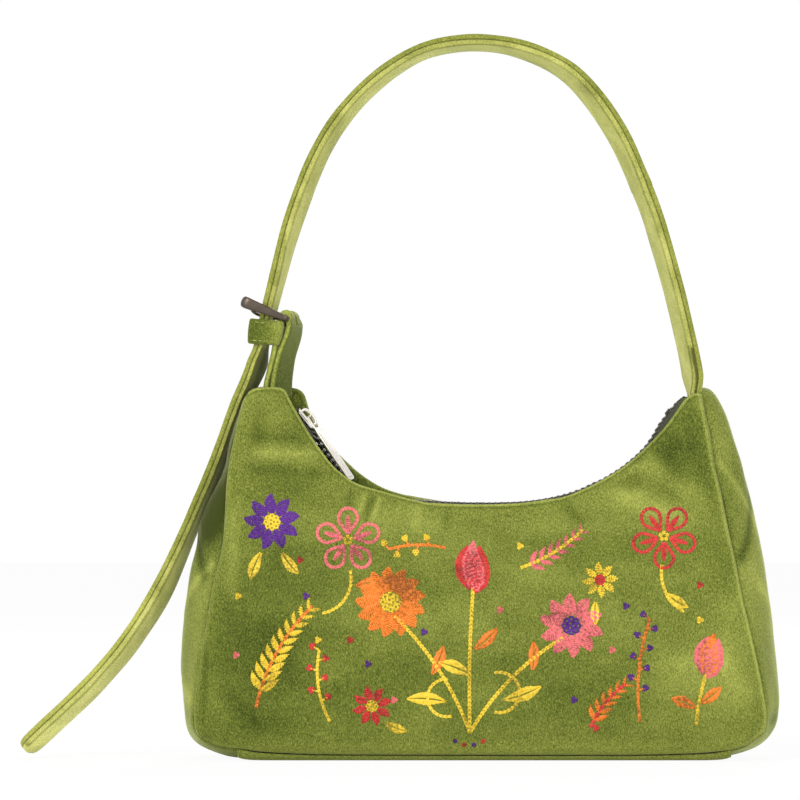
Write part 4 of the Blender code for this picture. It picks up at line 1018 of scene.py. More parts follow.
def zip_teeth(side, facing):
    """A row of teeth; the back one's stand between the front one's."""
    verts, faces = tooth_mesh()
    count = int(((ZIP_END - ZIP_START) * ZIP_RADIUS + PAST_LAST_TOOTH) / TOOTH_PITCH)
    offset = FIRST_TOOTH + (TOOTH_PITCH / 2 if facing > 0 else 0) + TOOTH_PITCH / 4
    level = np.array([0.0, 1.0, 0.0])
    all_verts, all_faces = [], []
    for k in range(count):
        angle = ZIP_START + (offset + k * TOOTH_PITCH) / ZIP_RADIUS
        centre = arc_point(angle, 0.0)
        along = np.array([math.cos(angle), 0, math.sin(angle)])
        up = np.array([-math.sin(angle), 0, math.cos(angle)])
        tip = float(chain_roll(angle))
        across = facing * (math.cos(tip) * level + math.sin(tip) * up)
        up = math.cos(tip) * up - math.sin(tip) * level
        all_verts.append(centre + verts[:, :1] * along + verts[:, 1:2] * across + verts[:, 2:] * up)
        all_faces += [tuple(i + k * len(verts) for i in f[::facing]) for f in faces]
    row = mesh_object(f"zip_teeth_{side}_row", np.concatenate(all_verts), all_faces, GUNMETAL, smooth=False)
    dress(row, "gunmetal", "zip_teeth_" + side)


for build in (zip_hem, zip_tape):
    build("front", -1, FRONT_TOP_PX)
    build("back", 1, BACK_TOP_PX)
zip_teeth("front", -1)
zip_teeth("back", 1)


def axes_matrix(x, y, z, origin):
    """The placement whose axes and origin these are."""
    return Matrix([*zip(x, y, z, origin), (0, 0, 0, 1)])


def slider_matrix(angle=SLIDER_REST):
    along = (math.cos(angle), 0, math.sin(angle))
    up = (-math.sin(angle), 0, math.cos(angle))
    return axes_matrix(along, (0, 1, 0), up, arc_point(angle, 0.0, bow=False))


def plate(name, rings, thickness, bevel, matrix, mat):
    """A flat plate from outlines in its own plane, with bevelled edges."""
    curve = bpy.data.curves.new(name, "CURVE")
    curve.dimensions = "2D"
    curve.fill_mode = "BOTH"
    curve.extrude = thickness / 2 - bevel
    curve.bevel_depth = bevel
    curve.bevel_resolution = 2
    curve.offset = -bevel
    for ring in rings:
        spline = curve.splines.new("POLY")
        spline.points.add(len(ring) - 1)
        for dot, (x, y) in zip(spline.points, ring):
            dot.co = (x, y, 0, 1)
        spline.use_cyclic_u = True
    shape = new_object(name + "_shape", curve)
    mesh = evaluated_mesh(shape)
    bpy.data.objects.remove(shape, do_unlink=True)
    bm = bmesh.new()
    bm.from_mesh(mesh)
    bmesh.ops.remove_doubles(bm, verts=bm.verts, dist=0.000005)
    bmesh.ops.recalc_face_normals(bm, faces=bm.faces)
    bm.to_mesh(mesh)
    bm.free()
    mesh.materials.clear()
    mesh.materials.append(mat)
    mesh.transform(matrix)
    return new_object(name, mesh)


def join(name, objects):
    """Joins meshes into the first one, under a new name."""
    bm = bmesh.new()
    for obj in objects:
        bm.from_mesh(obj.data)
    mesh = bpy.data.meshes.new(name)
    bm.to_mesh(mesh)
    bm.free()
    for mat in objects[0].data.materials:
        mesh.materials.append(mat)
    smooth = objects[0].data.polygons[0].use_smooth
    for obj in objects:
        bpy.data.objects.remove(obj, do_unlink=True)
    made = new_object(name, mesh)
    if smooth:
        mesh.shade_smooth()
    return made


QUARTER = math.pi / 2


def arc(cx, cy, radius, begin, count=4):
    """A quarter of a circle, from a number of quarter turns on."""
    turn = np.linspace(begin * QUARTER, begin * QUARTER + QUARTER, count + 1)
    return [(cx + radius * math.cos(a), cy + radius * math.sin(a)) for a in turn]


def rounded(left, right, low, high, radius, count=4):
    """A rectangle with round corners."""
    return (arc(left + radius, low + radius, radius, 2, count)
            + arc(right - radius, low + radius, radius, -1, count)
            + arc(right - radius, high - radius, radius, 0, count)
            + arc(left + radius, high - radius, radius, 1, count))


# Heights of the slider's plates and lips: the lower ones hang deeper, so the bowed chain passes above them
SLIDER_PLATES = (0.0020, -0.0037)
SLIDER_LIPS = (0.00145, -0.00330)
SHARP = math.radians(35)


METAL_T = 0.0010


def build_slider():
    """Two shield-shaped plates on a diamond, with a bridge over the upper one."""
    at_rest = slider_matrix()
    half, mouth, back_half, mouth_round, back_round = 0.0056, 0.0047, 0.0034, 0.0012, 0.0014
    outline = (arc(-half + mouth_round, -mouth + mouth_round, mouth_round, 2)
               + [(-0.0004, -mouth), (0.0016, -back_half - 0.0007)]
               + arc(half - back_round, -back_half + back_round, back_round, -1)
               + arc(half - back_round, back_half - back_round, back_round, 0)
               + [(0.0016, back_half + 0.0007), (-0.0004, mouth)]
               + arc(-half + mouth_round, mouth - mouth_round, mouth_round, 1))
    parts = [plate("slider_plate", [outline], METAL_T, 0.00025, at_rest @ Matrix.Translation((0, 0, level)),
                   SILVER) for level in SLIDER_PLATES]
    end = half - 0.0012
    for side in (1, -1):
        wall = [(-end, side * mouth), (end, side * (back_half + 0.0004)),
                (end, side * (back_half - 0.0003)), (-end, side * (mouth - 0.0007))]
        parts += [plate("slider_lip", [wall[::side]], 0.0011, 0.00015,
                        at_rest @ Matrix.Translation((0, 0, level)), SILVER) for level in SLIDER_LIPS]
    body = join("slider_body", parts)
    bevel_smooth(body)
    dress(body, "silver", "zip_slider", body="slider")
    rise, reach, arch, foot = 0.0034, 0.0040, 0.0016, 0.0023
    bow = [(-reach * math.cos(a), rise + arch * math.sin(a)) for a in np.linspace(0, math.pi, 17)]
    spots = [at_rest @ Vector((x, 0, z)) for x, z in [(-reach, foot), *bow, (reach, foot)]]
    bridge = wire("slider_bridge_loop", spots, 0.00070, SILVER)
    dress(bridge, "silver", "slider_bridge", body="slider")


def bevel_smooth(obj):
    """Smooth shading, but for the edges that turn sharply."""
    obj.data.shade_smooth()
    bm = bmesh.new()
    bm.from_mesh(obj.data)
    for edge in bm.edges:
        if len(edge.link_faces) == 2 and edge.calc_face_angle(0) > SHARP:
            edge.smooth = False
    bm.to_mesh(obj.data)
    bm.free()


PULLER_TIP = (0.0340, -0.0026, 0.0008)
PULLER_ROLL = math.radians(21)
PULLER_PIVOT = 0.0036


def puller_matrix():
    pivot = Vector((0, 0, PULLER_PIVOT))
    along = (Vector(PULLER_TIP) - pivot).normalized()
    width = Vector((0, math.cos(PULLER_ROLL), math.sin(PULLER_ROLL)))
    width = (width - along * width.dot(along)).normalized()
    return slider_matrix() @ axes_matrix(along, width, along.cross(width), pivot)


def build_puller():
    """A flat bar with a bevelled face, a stepped neck and an eye for the bridge."""
    half, eye, eye_length, rim_width, length = 0.0032, 0.0018, 0.0054, 0.0009, 0.0340
    head, start, soft = eye + rim_width, -rim_width / 2, half / 2
    end, neck, first = length + start, start + eye_length + 2 * rim_width, start + rim_width
    outer = (arc(start + rim_width, -head + rim_width, rim_width, 2)
             + [(neck, -head), (neck + rim_width, -half)]
             + arc(end - soft, -half + soft, soft, -1, 6) + arc(end - soft, half - soft, soft, 0, 6)
             + [(neck + rim_width, half), (neck, head)]
             + arc(start + rim_width, head - rim_width, rim_width, 1))
    inner = rounded(first, first + eye_length, -eye, eye, eye / 2)
    bar = plate("puller_bar", [outer, inner], METAL_T, 0.00028, puller_matrix(), SILVER)
    inset, corner, field_end, field_t = 0.0012, 0.0004, end - 0.0014, 0.0015
    field = [(neck + 2 * inset, -half + inset), (end - soft, -half + inset),
             (field_end, -half + soft + corner), (field_end, half - soft - corner),
             (end - soft, half - inset), (neck + 2 * inset, half - inset)]
    raised = plate("puller_field", [field], field_t, 0.0002, puller_matrix(), SILVER)
    puller = join("puller", [bar, raised])
    bevel_smooth(puller)
    dress(puller, "silver", "zip_puller", body="puller")


build_slider()
build_puller()


# Stops: name, end of the zip, way inwards, shift, half width and corner radius
STOPS = (("zip_top_stop_front", ZIP_START, 1, (0, -0.0018, 0), 0.0012, 0.0005),
         ("zip_top_stop_back", ZIP_START, 1, (0, 0.0018, 0), 0.0012, 0.0005),
         ("zip_bottom_stop", ZIP_END, -1, (0, 0, 0.0018), 0.0030, 0.0006))


def build_stops():
    inset, half_length, thickness, bevel = 0.0015, 0.0015, 0.0020, 0.0003
    for name, angle, inwards, shift, half, radius in STOPS:
        matrix = slider_matrix(angle + inwards * inset / ZIP_RADIUS) @ Matrix.Translation(shift)
        ring = rounded(-half_length, half_length, -half, half, radius, 3)
        clamp = plate(name + "_clamp", [ring], thickness, bevel, matrix, GUNMETAL)
        bevel_smooth(clamp)
        dress(clamp, "gunmetal", name)


build_stops()

# Strap
LAYER_T = 0.0023
FLARE = math.radians(13)
TAIL_FROM_PX = 346
TIP_RADIUS = 0.0065
ROUTE_SMOOTHING = 0.012
SEAM_GROOVE, SEAM_GAP = 0.00028, 0.00002
OUTER_DOME, INNER_DOME = 0.0006, 0.0003
KEEPER_Z, KEEPER_REACH, KEEPER_SQUEEZE = 0.187, 0.009, 0.0004
# Where the strap's seams and the stitched line beside them lie across it, and how wide they are
EDGE_BAND, LINE_BAND = (0.0095, 0.0012), (0.0087, 0.0005)
# Painted shade on the right of the tail: heights in pixels, and how much of it
TAIL_PAINTED_SHADE_PX, TAIL_PAINTED_SHADE = (346, 352, 450, 480, 540), (0, 1, 1, 0.25, 0)
# How far the tail turns its face to the camera, by height, in shares of the flare
FALL_PX = (352, 366, 380, 396, 412, 436, 456, 476, 500, 520, 548, 590)
FALL = (1.10, 1.10, 0.94, 0.72, 0.44, 0.42, 0.54, 0.66, 0.74, 0.70, 0.88, 1.25)


def strip_axes(flat, tangent, turn):
    """A strip's centres, with its directions outwards and across after a turn about its length."""
    zero = np.zeros(len(flat))
    out = np.stack([tangent[:, 1], zero, -tangent[:, 0]], -1)
    across = np.tile([0.0, 1.0, 0.0], (len(flat), 1))
    across, out = (across * np.cos(turn) - out * np.sin(turn),
                   out * np.cos(turn) + across * np.sin(turn))
    return np.stack([flat[:, 0], zero, flat[:, 1]], -1), out, across


def strap_layers():
    """The handle and its tail: two stuffed layers sewn edge to edge along one route."""
    route = Curve(smoothed(Curve(metres(STRAP_PX)), ROUTE_SMOOTHING), 2)
    root = route.where_z(SWING_Z - STRAP_BELOW_SWING)
    buckle = route.where_z(metres(TOE_PX)[1], first=False)
    below = route.where_z(metres((0, TAIL_FROM_PX))[1], first=False)
    stations = np.linspace(root, route.length, 620)
    flat = route.at(stations)
    x, z = flat.T
    # It turns its edge to the camera less over the top, and more down the right and in the tail
    rise = ease((stations - root + 0.001) / 0.012) * (1 - 0.42 * ease((stations - buckle + 0.045) / 0.045))
    in_tail = ease((stations - below) / 0.008)
    rise = rise * (1 - in_tail)
    fall = in_tail * np.interp(FLOOR_PX - z / PX, FALL_PX, FALL)
    crest = 0.50 * bell(x, -0.010, 0.045) * (z > 0.25)
    crown = 0.22 * bell(x, 0.055, 0.022) * (z > 0.25)
    turn = (FLARE * (rise * (1 - crest + crown) + fall))[:, None]
    centres, out, across = strip_axes(flat, route.tangent(stations), turn)
    tip = route.length - stations
    narrow = STRAP_HALF - roll([tip], TIP_RADIUS, TIP_RADIUS)
    in_keeper = bell(z, KEEPER_Z, KEEPER_REACH) * (stations > buckle - 0.01)
    for layer, side, seed, mat, slot in (("outer", 1, 61, STRAP_VELVET_PAINTED_LIGHTER, "velvet_green"),
                                         ("inner", -1, 62, INNER_PALE_VELVET_PAINTED_LIGHTER, "velvet_light_green")):
        noise = Noise(seed)
        edge = noise.at(stations / 0.0075, 2.0) * 0.5 + noise.at(stations / 0.019, 9.0)
        half = narrow * (1 + 0.014 * edge) - KEEPER_SQUEEZE * in_keeper
        puff = 1 + 0.07 * noise.at(stations / 0.012, 20.0) - 0.12 * in_keeper
        dome, under = (OUTER_DOME, 0.0) if side > 0 else (0.0, INNER_DOME)
        sections = []
        for k in range(len(stations)):
            closing = min(1.0, math.sqrt(max(tip[k], 0) / 0.002 + 0.08))
            thick = LAYER_T * puff[k] * (0.55 + 0.45 * closing)
            section = layer_section(half[k], thick, dome * puff[k], under, groove=SEAM_GROOVE)
            section[:, 1] += side * (thick / 2 + SEAM_GAP)
            sections.append(section)
        obj = sweep(f"strap_{layer}_velvet", centres, out, across, sections, mat)
        spots, face = vertex_array(obj), vertex_array(obj, "normal")
        height = FLOOR_PX - spots[:, 2] / PX
        tail = (spots[:, 0] < -0.085) | (height > TAIL_FROM_PX)
        # Painted shade on the right of the tail's upper half, painted highlights along the outer layer's
        # edges, painted shade along the inner layer's edges and more of it in the tail, a darker line along
        # the inner layer, and painted light on the tail's lower end
        tail_painted_shade = tail * np.interp(height, TAIL_PAINTED_SHADE_PX, TAIL_PAINTED_SHADE) * ease(face[:, 0] * 2)
        edge = bell(np.abs(spots[:, 1]), *EDGE_BAND)
        line = bell(np.abs(spots[:, 1]), *LINE_BAND) * (side < 0)
        set_painted_light_and_tone(obj, -0.34 * tail_painted_shade * (side < 0) + (0.04 if side > 0 else -0.03 - 0.08 * tail) * edge
                - 0.20 * line + 0.10 * tail * np.interp(height, [540, 600], [0, 1]))
        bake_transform(obj)
        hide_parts("strap_" + layer, "tail_" + layer)


strap_layers()


def cut_box(obj, size, matrix):
    """Cuts a box out of a piece and keeps the result."""
    bm = bmesh.new()
    bmesh.ops.create_cube(bm, size=1.0)
    bmesh.ops.scale(bm, vec=size, verts=bm.verts)
    mesh = bpy.data.meshes.new("cutter")
    bm.to_mesh(mesh)
    bm.free()
    cutter = new_object("cutter", mesh)
    cutter.matrix_world = matrix
    boolean = obj.modifiers.new("cut", "BOOLEAN")
    boolean.object, boolean.solver = cutter, "EXACT"
    old, obj.data = obj.data, evaluated_mesh(obj)
    obj.modifiers.clear()
    bpy.data.meshes.remove(old)
    bpy.data.objects.remove(cutter, do_unlink=True)


# Buckle end: the heel bar lies in the tab's fold
HEEL, TOE = metres(HEEL_PX), metres(TOE_PX)
HEEL_RADIUS = 0.0014142
WIRE_RADIUS = 0.0007
WIRE_PLAY = 0.0003
PRONG_WRAP = math.radians(318)
SLOT_HALF = 0.0014
TAB_T, TAB_DOME = 0.0026, 0.0002
FOLD_RADIUS = HEEL_RADIUS + 0.0012


def build_tab():
    """The tab: up from the horn, round the buckle's bar and down again, slotted for the prong."""
    radius = FOLD_RADIUS / PX
    bend = [(HEEL_PX[0] + radius * math.cos(a), HEEL_PX[1] - radius * math.sin(a))
            for a in np.linspace(1.08 * math.pi, -0.08 * math.pi, 13)]
    route = Curve(metres(TAB_PX + bend + TAB_RETURN_PX), 10)
    start, end = (route.where_z(SWING_Z - TAB_BELOW_SWING, first) for first in (True, False))
    stations = np.linspace(start, end, 190)
    flat = route.at(stations)
    # Both legs are turned a little out of the camera's line, each its own way
    bend_at = route.where_z(HEEL[1], first=False)
    height = FLOOR_PX - flat[:, 1] / PX
    going = np.interp(height, [345, 366, 385], [0, 11, 14])
    coming = np.interp(height, [319, 327, 345, 366, 385], [10, 15, 18, 21, 23])
    middle_s = (route.where_z(HEEL[1]) + bend_at) / 2
    share = ease((stations - middle_s) / (bend_at - middle_s))
    degrees = np.where(stations < middle_s, going, coming * share)
    turn = np.radians(degrees)[:, None] * np.where(stations < middle_s, -1, 1)[:, None]
    centres, out, across = strip_axes(flat, route.tangent(stations), turn)
    noise = Noise(71)
    sections = np.array([
        layer_section(STRAP_HALF * (1 + 0.010 * noise.at(s / 0.008, 3.0)),
                      TAB_T * (1 + 0.05 * noise.at(s / 0.01, 9.0)), TAB_DOME, groove=0.0002)
        for s in stations])
    # Between these stations the tab is two narrow sides with the prong's slot between them
    slot_low = HEEL[1] - (HEEL_RADIUS + WIRE_PLAY + 2 * WIRE_RADIUS + 0.0004)
    before = int(np.argmax(flat[:, 1] > slot_low))
    after = len(flat) - int(np.argmax(flat[::-1, 1] > slot_low))
    pieces = []
    for name, begin, finish, side in (("going", 0, before + 2, 0), ("coming", after - 2, len(flat), 0),
                                      ("left", before, after, -1), ("right", before, after, 1)):
        keep = slice(begin, finish)
        part = sections[keep].copy()
        if side:
            part[..., 0] = side * (SLOT_HALF + (part[..., 0] * side + STRAP_HALF)
                                   * (STRAP_HALF - SLOT_HALF) / (2 * STRAP_HALF))
        pieces.append(sweep("tab_" + name, centres[keep], out[keep], across[keep], part, PANEL_VELVET))
    tab = join("buckle_tab_velvet", pieces)
    face = vertex_array(tab, "normal")
    # Painted light on the tab's front, and painted shade on the faces turned to either side
    set_painted_light_and_tone(tab, 0.19 - 0.31 * np.clip(face[:, 0], 0, 1) - 0.22 * np.clip(-face[:, 0], 0, 1))
    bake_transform(tab)
    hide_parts("buckle_tab")


build_tab()


STRAIGHT_FROM = 0.002


def loop_direction(path):
    run = np.roll(path, -1, axis=0) - np.roll(path, 1, axis=0)
    return run / np.linalg.norm(run, axis=1, keepdims=True)


def round_loop(x0, x1, half, bend, corner_count, side_count):
    """A closed loop round a rectangle with round corners, and the direction along it."""
    corners = ((x1 - bend, bend - half, -1), (x1 - bend, half - bend, 0), (x0 + bend, half - bend, 1),
               (x0 + bend, bend - half, 2))
    loop = [p for cx, cy, begin in corners for p in arc(cx, cy, bend, begin, corner_count)]
    dense = []
    for (ax, ay), (bx, by) in zip(loop, loop[1:] + loop[:1]):
        steps = 1 if math.hypot(bx - ax, by - ay) < STRAIGHT_FROM else side_count
        dense += [(ax + (bx - ax) * k / steps, ay + (by - ay) * k / steps) for k in range(steps)]
    flat = np.array(dense)
    return flat, loop_direction(flat)


# Painted light and shade across the keeper from left to right: share of the width, and how much lighter
KEEPER_PAINTED_SHADE = (-0.1, 0.15, 0.6, 1.0), (-0.02, -0.13, -0.06, 0.08)


def build_keeper():
    """A band round the strap and the tab, bulging a little between its stitched edges."""
    left_low, left_high, right_high, right_low = metres(KEEPER_PX)
    wall, half, bend, lean = 0.0015, STRAP_HALF + 0.0004, 0.0022, 0.0012
    bulge, unevenness, stitch_depth, stitch_band = 0.0004, 0.00012, 0.00028, (0.78, 0.05)
    width = right_low[0] - left_low[0]
    loop, _ = round_loop(0.0, width, half + wall, bend, 6, 8)
    share, ys = loop[:, 0] / width, loop[:, 1]
    noise = Noise(83)
    low = left_low + (right_low - left_low) * share[:, None]
    high = left_high + (right_high - left_high) * share[:, None]
    middle = (low + high) / 2
    rise = high - low
    count = len(share)
    run = loop_direction(np.stack([middle[:, 0], ys], -1))
    out = np.stack([run[:, 1], -run[:, 0], np.zeros(count)], -1)
    across = np.stack([rise[:, 0], np.zeros(count), rise[:, 1]], -1)
    length = np.linalg.norm(across, axis=1)
    across /= length[:, None]
    centres = np.stack([middle[:, 0], ys, middle[:, 1]], -1) - out * wall / 2
    centres[:, 0] += lean * ease((share - 0.6) / 0.4) * ease((ys + half) / (2 * half))
    sections = []
    for k in range(count):
        swell = bulge + unevenness * noise.at(k / 4.0, 1.0)
        section = layer_section(length[k] / 2, wall, swell, 0.0, arc=6, flat=9)
        edge = np.abs(section[:, 0]) / (length[k] / 2)
        # The rows of stitches pull it in
        section[:, 1] -= stitch_depth * bell(edge, *stitch_band) * (section[:, 1] > 0)
        sections.append(section)
    keeper = sweep("strap_keeper_velvet", centres, out, across, sections, PANEL_VELVET, closed=True)
    cut_box(keeper, (0.0070, 2 * SLOT_HALF, 0.0070), Matrix.Translation((HEEL[0], 0, HEEL[1])))
    share = (vertex_array(keeper)[:, 0] - left_low[0]) / width
    set_painted_light_and_tone(keeper, np.interp(share, *KEEPER_PAINTED_SHADE))
    dress(keeper, "velvet_green", "strap_keeper", body="strap")
    return centres, out, across, length


KEEPER_PATH = build_keeper()


def build_buckle():
    """A frame of flattened bars, thick at the toe and thin at the heel, with round corners."""
    span = float(np.linalg.norm(TOE - HEEL))
    run_x, run_z = (TOE - HEEL) / span
    along, side, up = np.array([run_x, 0, run_z]), np.array([0.0, 1.0, 0.0]), [-run_z, 0, run_x]
    rail, heel_bar, heel_thick, toe_more, toe_wider = 0.0026, 0.0025, 0.0025, 0.0027, 0.0012
    play, bend = 0.0006, 0.0017
    flat, run = round_loop(0.0, span - play, STRAP_HALF + play + rail / 2, bend, 7, 10)
    centres = np.array([HEEL[0], 0, HEEL[1]]) + flat[:, :1] * along + flat[:, 1:] * side
    outs = run[:, 1:] * along - run[:, :1] * side
    turn = np.linspace(0, 2 * math.pi, 24, endpoint=False)
    c, s = np.cos(turn), np.sin(turn)
    sections = []
    for share in np.clip(flat[:, 0] / span, 0, 1):
        thick = heel_thick + toe_more * share
        at_toe = ease((share - 0.9) / 0.1)
        wide = heel_bar + (rail - heel_bar) * ease(share * 3) + toe_wider * at_toe
        power = 0.6 + 0.3 * at_toe
        sections.append(np.stack([thick / 2 * np.sign(s) * np.abs(s) ** power,
                                  wide / 2 * np.sign(c) * np.abs(c) ** power], -1))
    buckle = sweep("buckle_frame_metal", centres, outs, np.tile(up, (len(flat), 1)), sections, PEWTER,
                   closed=True)
    dress(buckle, "pewter", "buckle_frame", body="buckle")


build_buckle()


def build_prong():
    """A wire: nearly a full turn round the heel bar, then the tongue over to the toe."""
    radius = HEEL_RADIUS + WIRE_PLAY + WIRE_RADIUS
    lead = metres(PRONG_PX[0]) - HEEL
    begin = math.atan2(lead[1], lead[0])
    points = [(HEEL[0] + radius * math.cos(a), 0, HEEL[1] + radius * math.sin(a))
              for a in np.linspace(begin - PRONG_WRAP, begin, 26)]
    tongue = Curve(metres(PRONG_PX), 6).points
    points += [(x, 0, z) for x, z in tongue[1:]]
    prong = wire("buckle_prong_wire", points, WIRE_RADIUS, PEWTER, sides=12)
    dress(prong, "pewter", "buckle_prong", body="prong")


build_prong()


# Stitches
def surface_tree(points):
    rows, columns = points.shape[:2]
    verts = [Vector(p) for p in points.reshape(-1, 3)]
    return BVHTree.FromPolygons(verts, [tuple(map(int, f)) for f in grid_faces(rows, columns)])


FRONT_TREE = surface_tree(FRONT_POINTS)
CAMERA_AT = Vector((VIEW_X, -CAMERA_DISTANCE, VIEW_Z))


def on_front(px):
    """The point and the outward normal of the front panel at each pixel."""
    spots, normals = [], []
    for flat in metres(px):
        aim = Vector((flat[0], 0, flat[1])) - CAMERA_AT
        hit, normal = FRONT_TREE.ray_cast(CAMERA_AT, aim.normalized())[:2]
        if hit is None:
            spots.append((np.nan,) * 3)
            normals.append((0, -1, 0))
            continue
        if normal.y > 0:
            normal = -normal
        spots.append(hit[:])
        normals.append(normal[:])
    return np.array(spots), np.array(normals)


# A stitch's shape: angles round it, places along it, and its width there
RING = np.linspace(0, 2 * math.pi, 6, endpoint=False)
STATIONS = np.array([-0.5, -0.40, -0.18, 0.18, 0.40, 0.5])
SWELL = np.array([0.30, 0.80, 1.0, 1.0, 0.80, 0.30])


def stitches_object(name, starts, ends, normals, widths, mat, arch=0.35, sink=0.25):
    """Many short thread ends in one mesh: each arches from one point to another over the cloth."""
    starts, ends, normals = (np.asarray(a, float) for a in (starts, ends, normals))
    run = ends - starts
    length = np.linalg.norm(run, axis=1)
    good = length > 1e-5
    widths = np.broadcast_to(np.asarray(widths, float), good.shape)
    starts, run, normals, widths, length = (a[good] for a in (starts, run, normals, widths, length))
    along = run / length[:, None]
    up = normals - along * (normals * along).sum(1, keepdims=True)
    up /= np.linalg.norm(up, axis=1, keepdims=True)
    side = np.cross(along, up)
    middle = starts + run / 2
    lift = widths * (arch * (1 - (2 * STATIONS[:, None]) ** 2) - sink)
    centre = (middle[:, None] + STATIONS[None, :, None] * run[:, None]
              + lift.T[..., None] * up[:, None])
    c, s = np.cos(RING)[:, None], np.sin(RING)[:, None]
    # Half as high as it is wide
    verts = (centre[:, :, None] + (SWELL[None, :, None, None] * widths[:, None, None, None] / 2)
             * (c * side[:, None, None] + s * up[:, None, None] / 2))
    count, rings, sides = verts.shape[:3]
    one = [tuple(f) for f in grid_faces(rings, sides, wrap=True)]
    one += [tuple(range(sides))[::-1], tuple(range((rings - 1) * sides, rings * sides))]
    faces = []
    for k in range(count):
        shift = k * rings * sides
        faces += [tuple(i + shift for i in f) for f in one]
    return mesh_object(name, verts.reshape(-1, 3), faces, mat)


THREAD_SCALE = 1.55
SATIN_STITCH_PX = 4.4


class Needle:
    """Collects stitches by thread colour while motifs are drawn in pixels."""

    def __init__(self):
        self.made = {}

    def stitch(self, colour, a, b, width):
        self.made.setdefault(colour, []).append((tuple(a), tuple(b), width * THREAD_SCALE))

    def chain(self, colour, points, closed=False, width=0.00062, step=4.2, spread=1.05):
        """A line of chain stitch along a smooth curve."""
        curve = Curve(list(points) + ([points[0]] if closed else []), 10)
        places = np.linspace(0, 1, max(int(curve.length / step), 2) + 1)
        spots, normal = curve.share(places), curve.sides(places * curve.length)[1]
        for a, b, n, m in zip(spots, spots[1:], normal, normal[1:]):
            b = b + (b - a) * 0.18
            for side in (-1, 1):
                self.stitch(colour, a + side * n * (spread * THREAD_SCALE), b + side * m * 0.18, width)

    def line(self, colour, points, width, step):
        """A line of back stitch."""
        curve = Curve(points, 10)
        spots = curve.share(np.linspace(0, 1, max(int(curve.length / step), 2) + 1))
        for a, b in zip(spots, spots[1:]):
            self.stitch(colour, a, b + (b - a) * 0.12, width)

    def stations(self, middle, half_widths, step, margin=0.0):
        """Places along a shape's middle line, each with its directions and its half width."""
        curve = Curve(middle, 12)
        f = np.linspace(margin, 1 - margin, max(int(curve.length / step), 3))
        halves = np.interp(f, np.linspace(0, 1, len(half_widths)), half_widths)
        return zip(curve.share(f), *curve.sides(f * curve.length), halves)

    def satin(self, colour, middle, half_widths, width=0.00064, step=1.75, slant=0.35):
        """Thread laid side by side across a shape with a middle line and half widths."""
        for row, (p, t, n, h) in enumerate(self.stations(middle, half_widths, step)):
            if h < 0.4:
                continue
            wobble = random.uniform(-0.25, 0.25)
            a, b = p - n * h + t * h * slant, p + n * (h + wobble) - t * h * slant
            count = max(round(2 * h / SATIN_STITCH_PX), 1)
            cuts = np.linspace(0, 1, count + 1)
            cuts[1:-1] += (0.22 if row % 2 else -0.22) / count
            for start, end in zip(cuts, cuts[1:]):
                over = 0.10 * (end - start)
                self.stitch(colour, a + (b - a) * (start - over), a + (b - a) * (end + over), width)

    def feathered(self, colour, middle, half_widths, width=0.00060, step=1.5, slant=0.9):
        """A leaf: threads slanting from its rib to both its edges."""
        for p, t, n, h in self.stations(middle, half_widths, step, 0.02):
            if h < 0.5:
                continue
            for side in (-1, 1):
                reach = h * random.uniform(0.92, 1.06)
                self.stitch(colour, p + n * side * 0.25, p + n * side * reach + t * reach * slant, width)

    def knot(self, colour, centre, radius=1.9):
        """A knot: a few turns of thread round a point."""
        for k in range(6):
            a = k * math.pi / 3 + 0.3
            self.stitch(colour, centre + radius * 0.45 * np.array([math.cos(a), math.sin(a)]),
                        centre + radius * np.array([math.cos(a + 0.9), math.sin(a + 0.9)]), 0.00075)

    def sew(self, threads):
        for colour, items in self.made.items():
            starts_px, ends_px, widths = zip(*items)
            starts, normals = on_front(starts_px)
            ends, _ = on_front(ends_px)
            dress(stitches_object("embroidery_" + colour, starts, ends, normals, widths, threads[colour]),
                  "velvet_green")


# Motifs: places and lengths in pixels, angles in degrees from the right
def polar(centre, radius, degrees):
    a = math.radians(degrees)
    return (centre[0] + radius * math.cos(a), centre[1] - radius * math.sin(a))


def bent(start, length, degrees, bend=0.0, count=5):
    """Points of a stroke from a start, in a direction that turns as it goes."""
    x, y = start
    points = [(x, y)]
    for k in range(count):
        a = math.radians(degrees + bend * (k / count))
        x, y = x + length / count * math.cos(a), y - length / count * math.sin(a)
        points.append((x, y))
    return points


def draw_leaf(needle, colour, start, length, degrees, width):
    shape = [0, width * 0.75, width, width * 0.8, width * 0.4, 0]
    needle.feathered(colour, bent(start, length, degrees, 20), shape)


def draw_daisy(needle, petal, heart, centre, radius, petals, turn):
    for k in range(petals):
        degrees = turn + 360 * k / petals
        middle = [polar(centre, radius * 0.34, degrees), polar(centre, radius * 0.68, degrees + 3),
                  polar(centre, radius, degrees)]
        wide = radius * 0.20
        needle.satin(petal, middle, [wide * 0.45, wide, wide * 1.15, wide * 0.9, wide * 0.3], slant=0.25)
    for ring, count in ((0.22, 8), (0.08, 3)):
        for k in range(count):
            needle.knot(heart, polar(centre, radius * ring, 360 * k / count), radius * 0.085 + 0.6)


def draw_tulip(needle, outer, inner, base, size, degrees):
    for shift, bend, length, wide in ((26, -46, 1.0, 0.24), (-26, 46, 1.0, 0.24), (0, 0, 1.08, 0.26)):
        middle = bent(base, size * length, degrees + shift, bend)
        needle.satin(outer if shift else inner, middle,
                     [size * wide * 0.5, size * wide, size * wide, size * wide * 0.6, 0.3], slant=0.5)


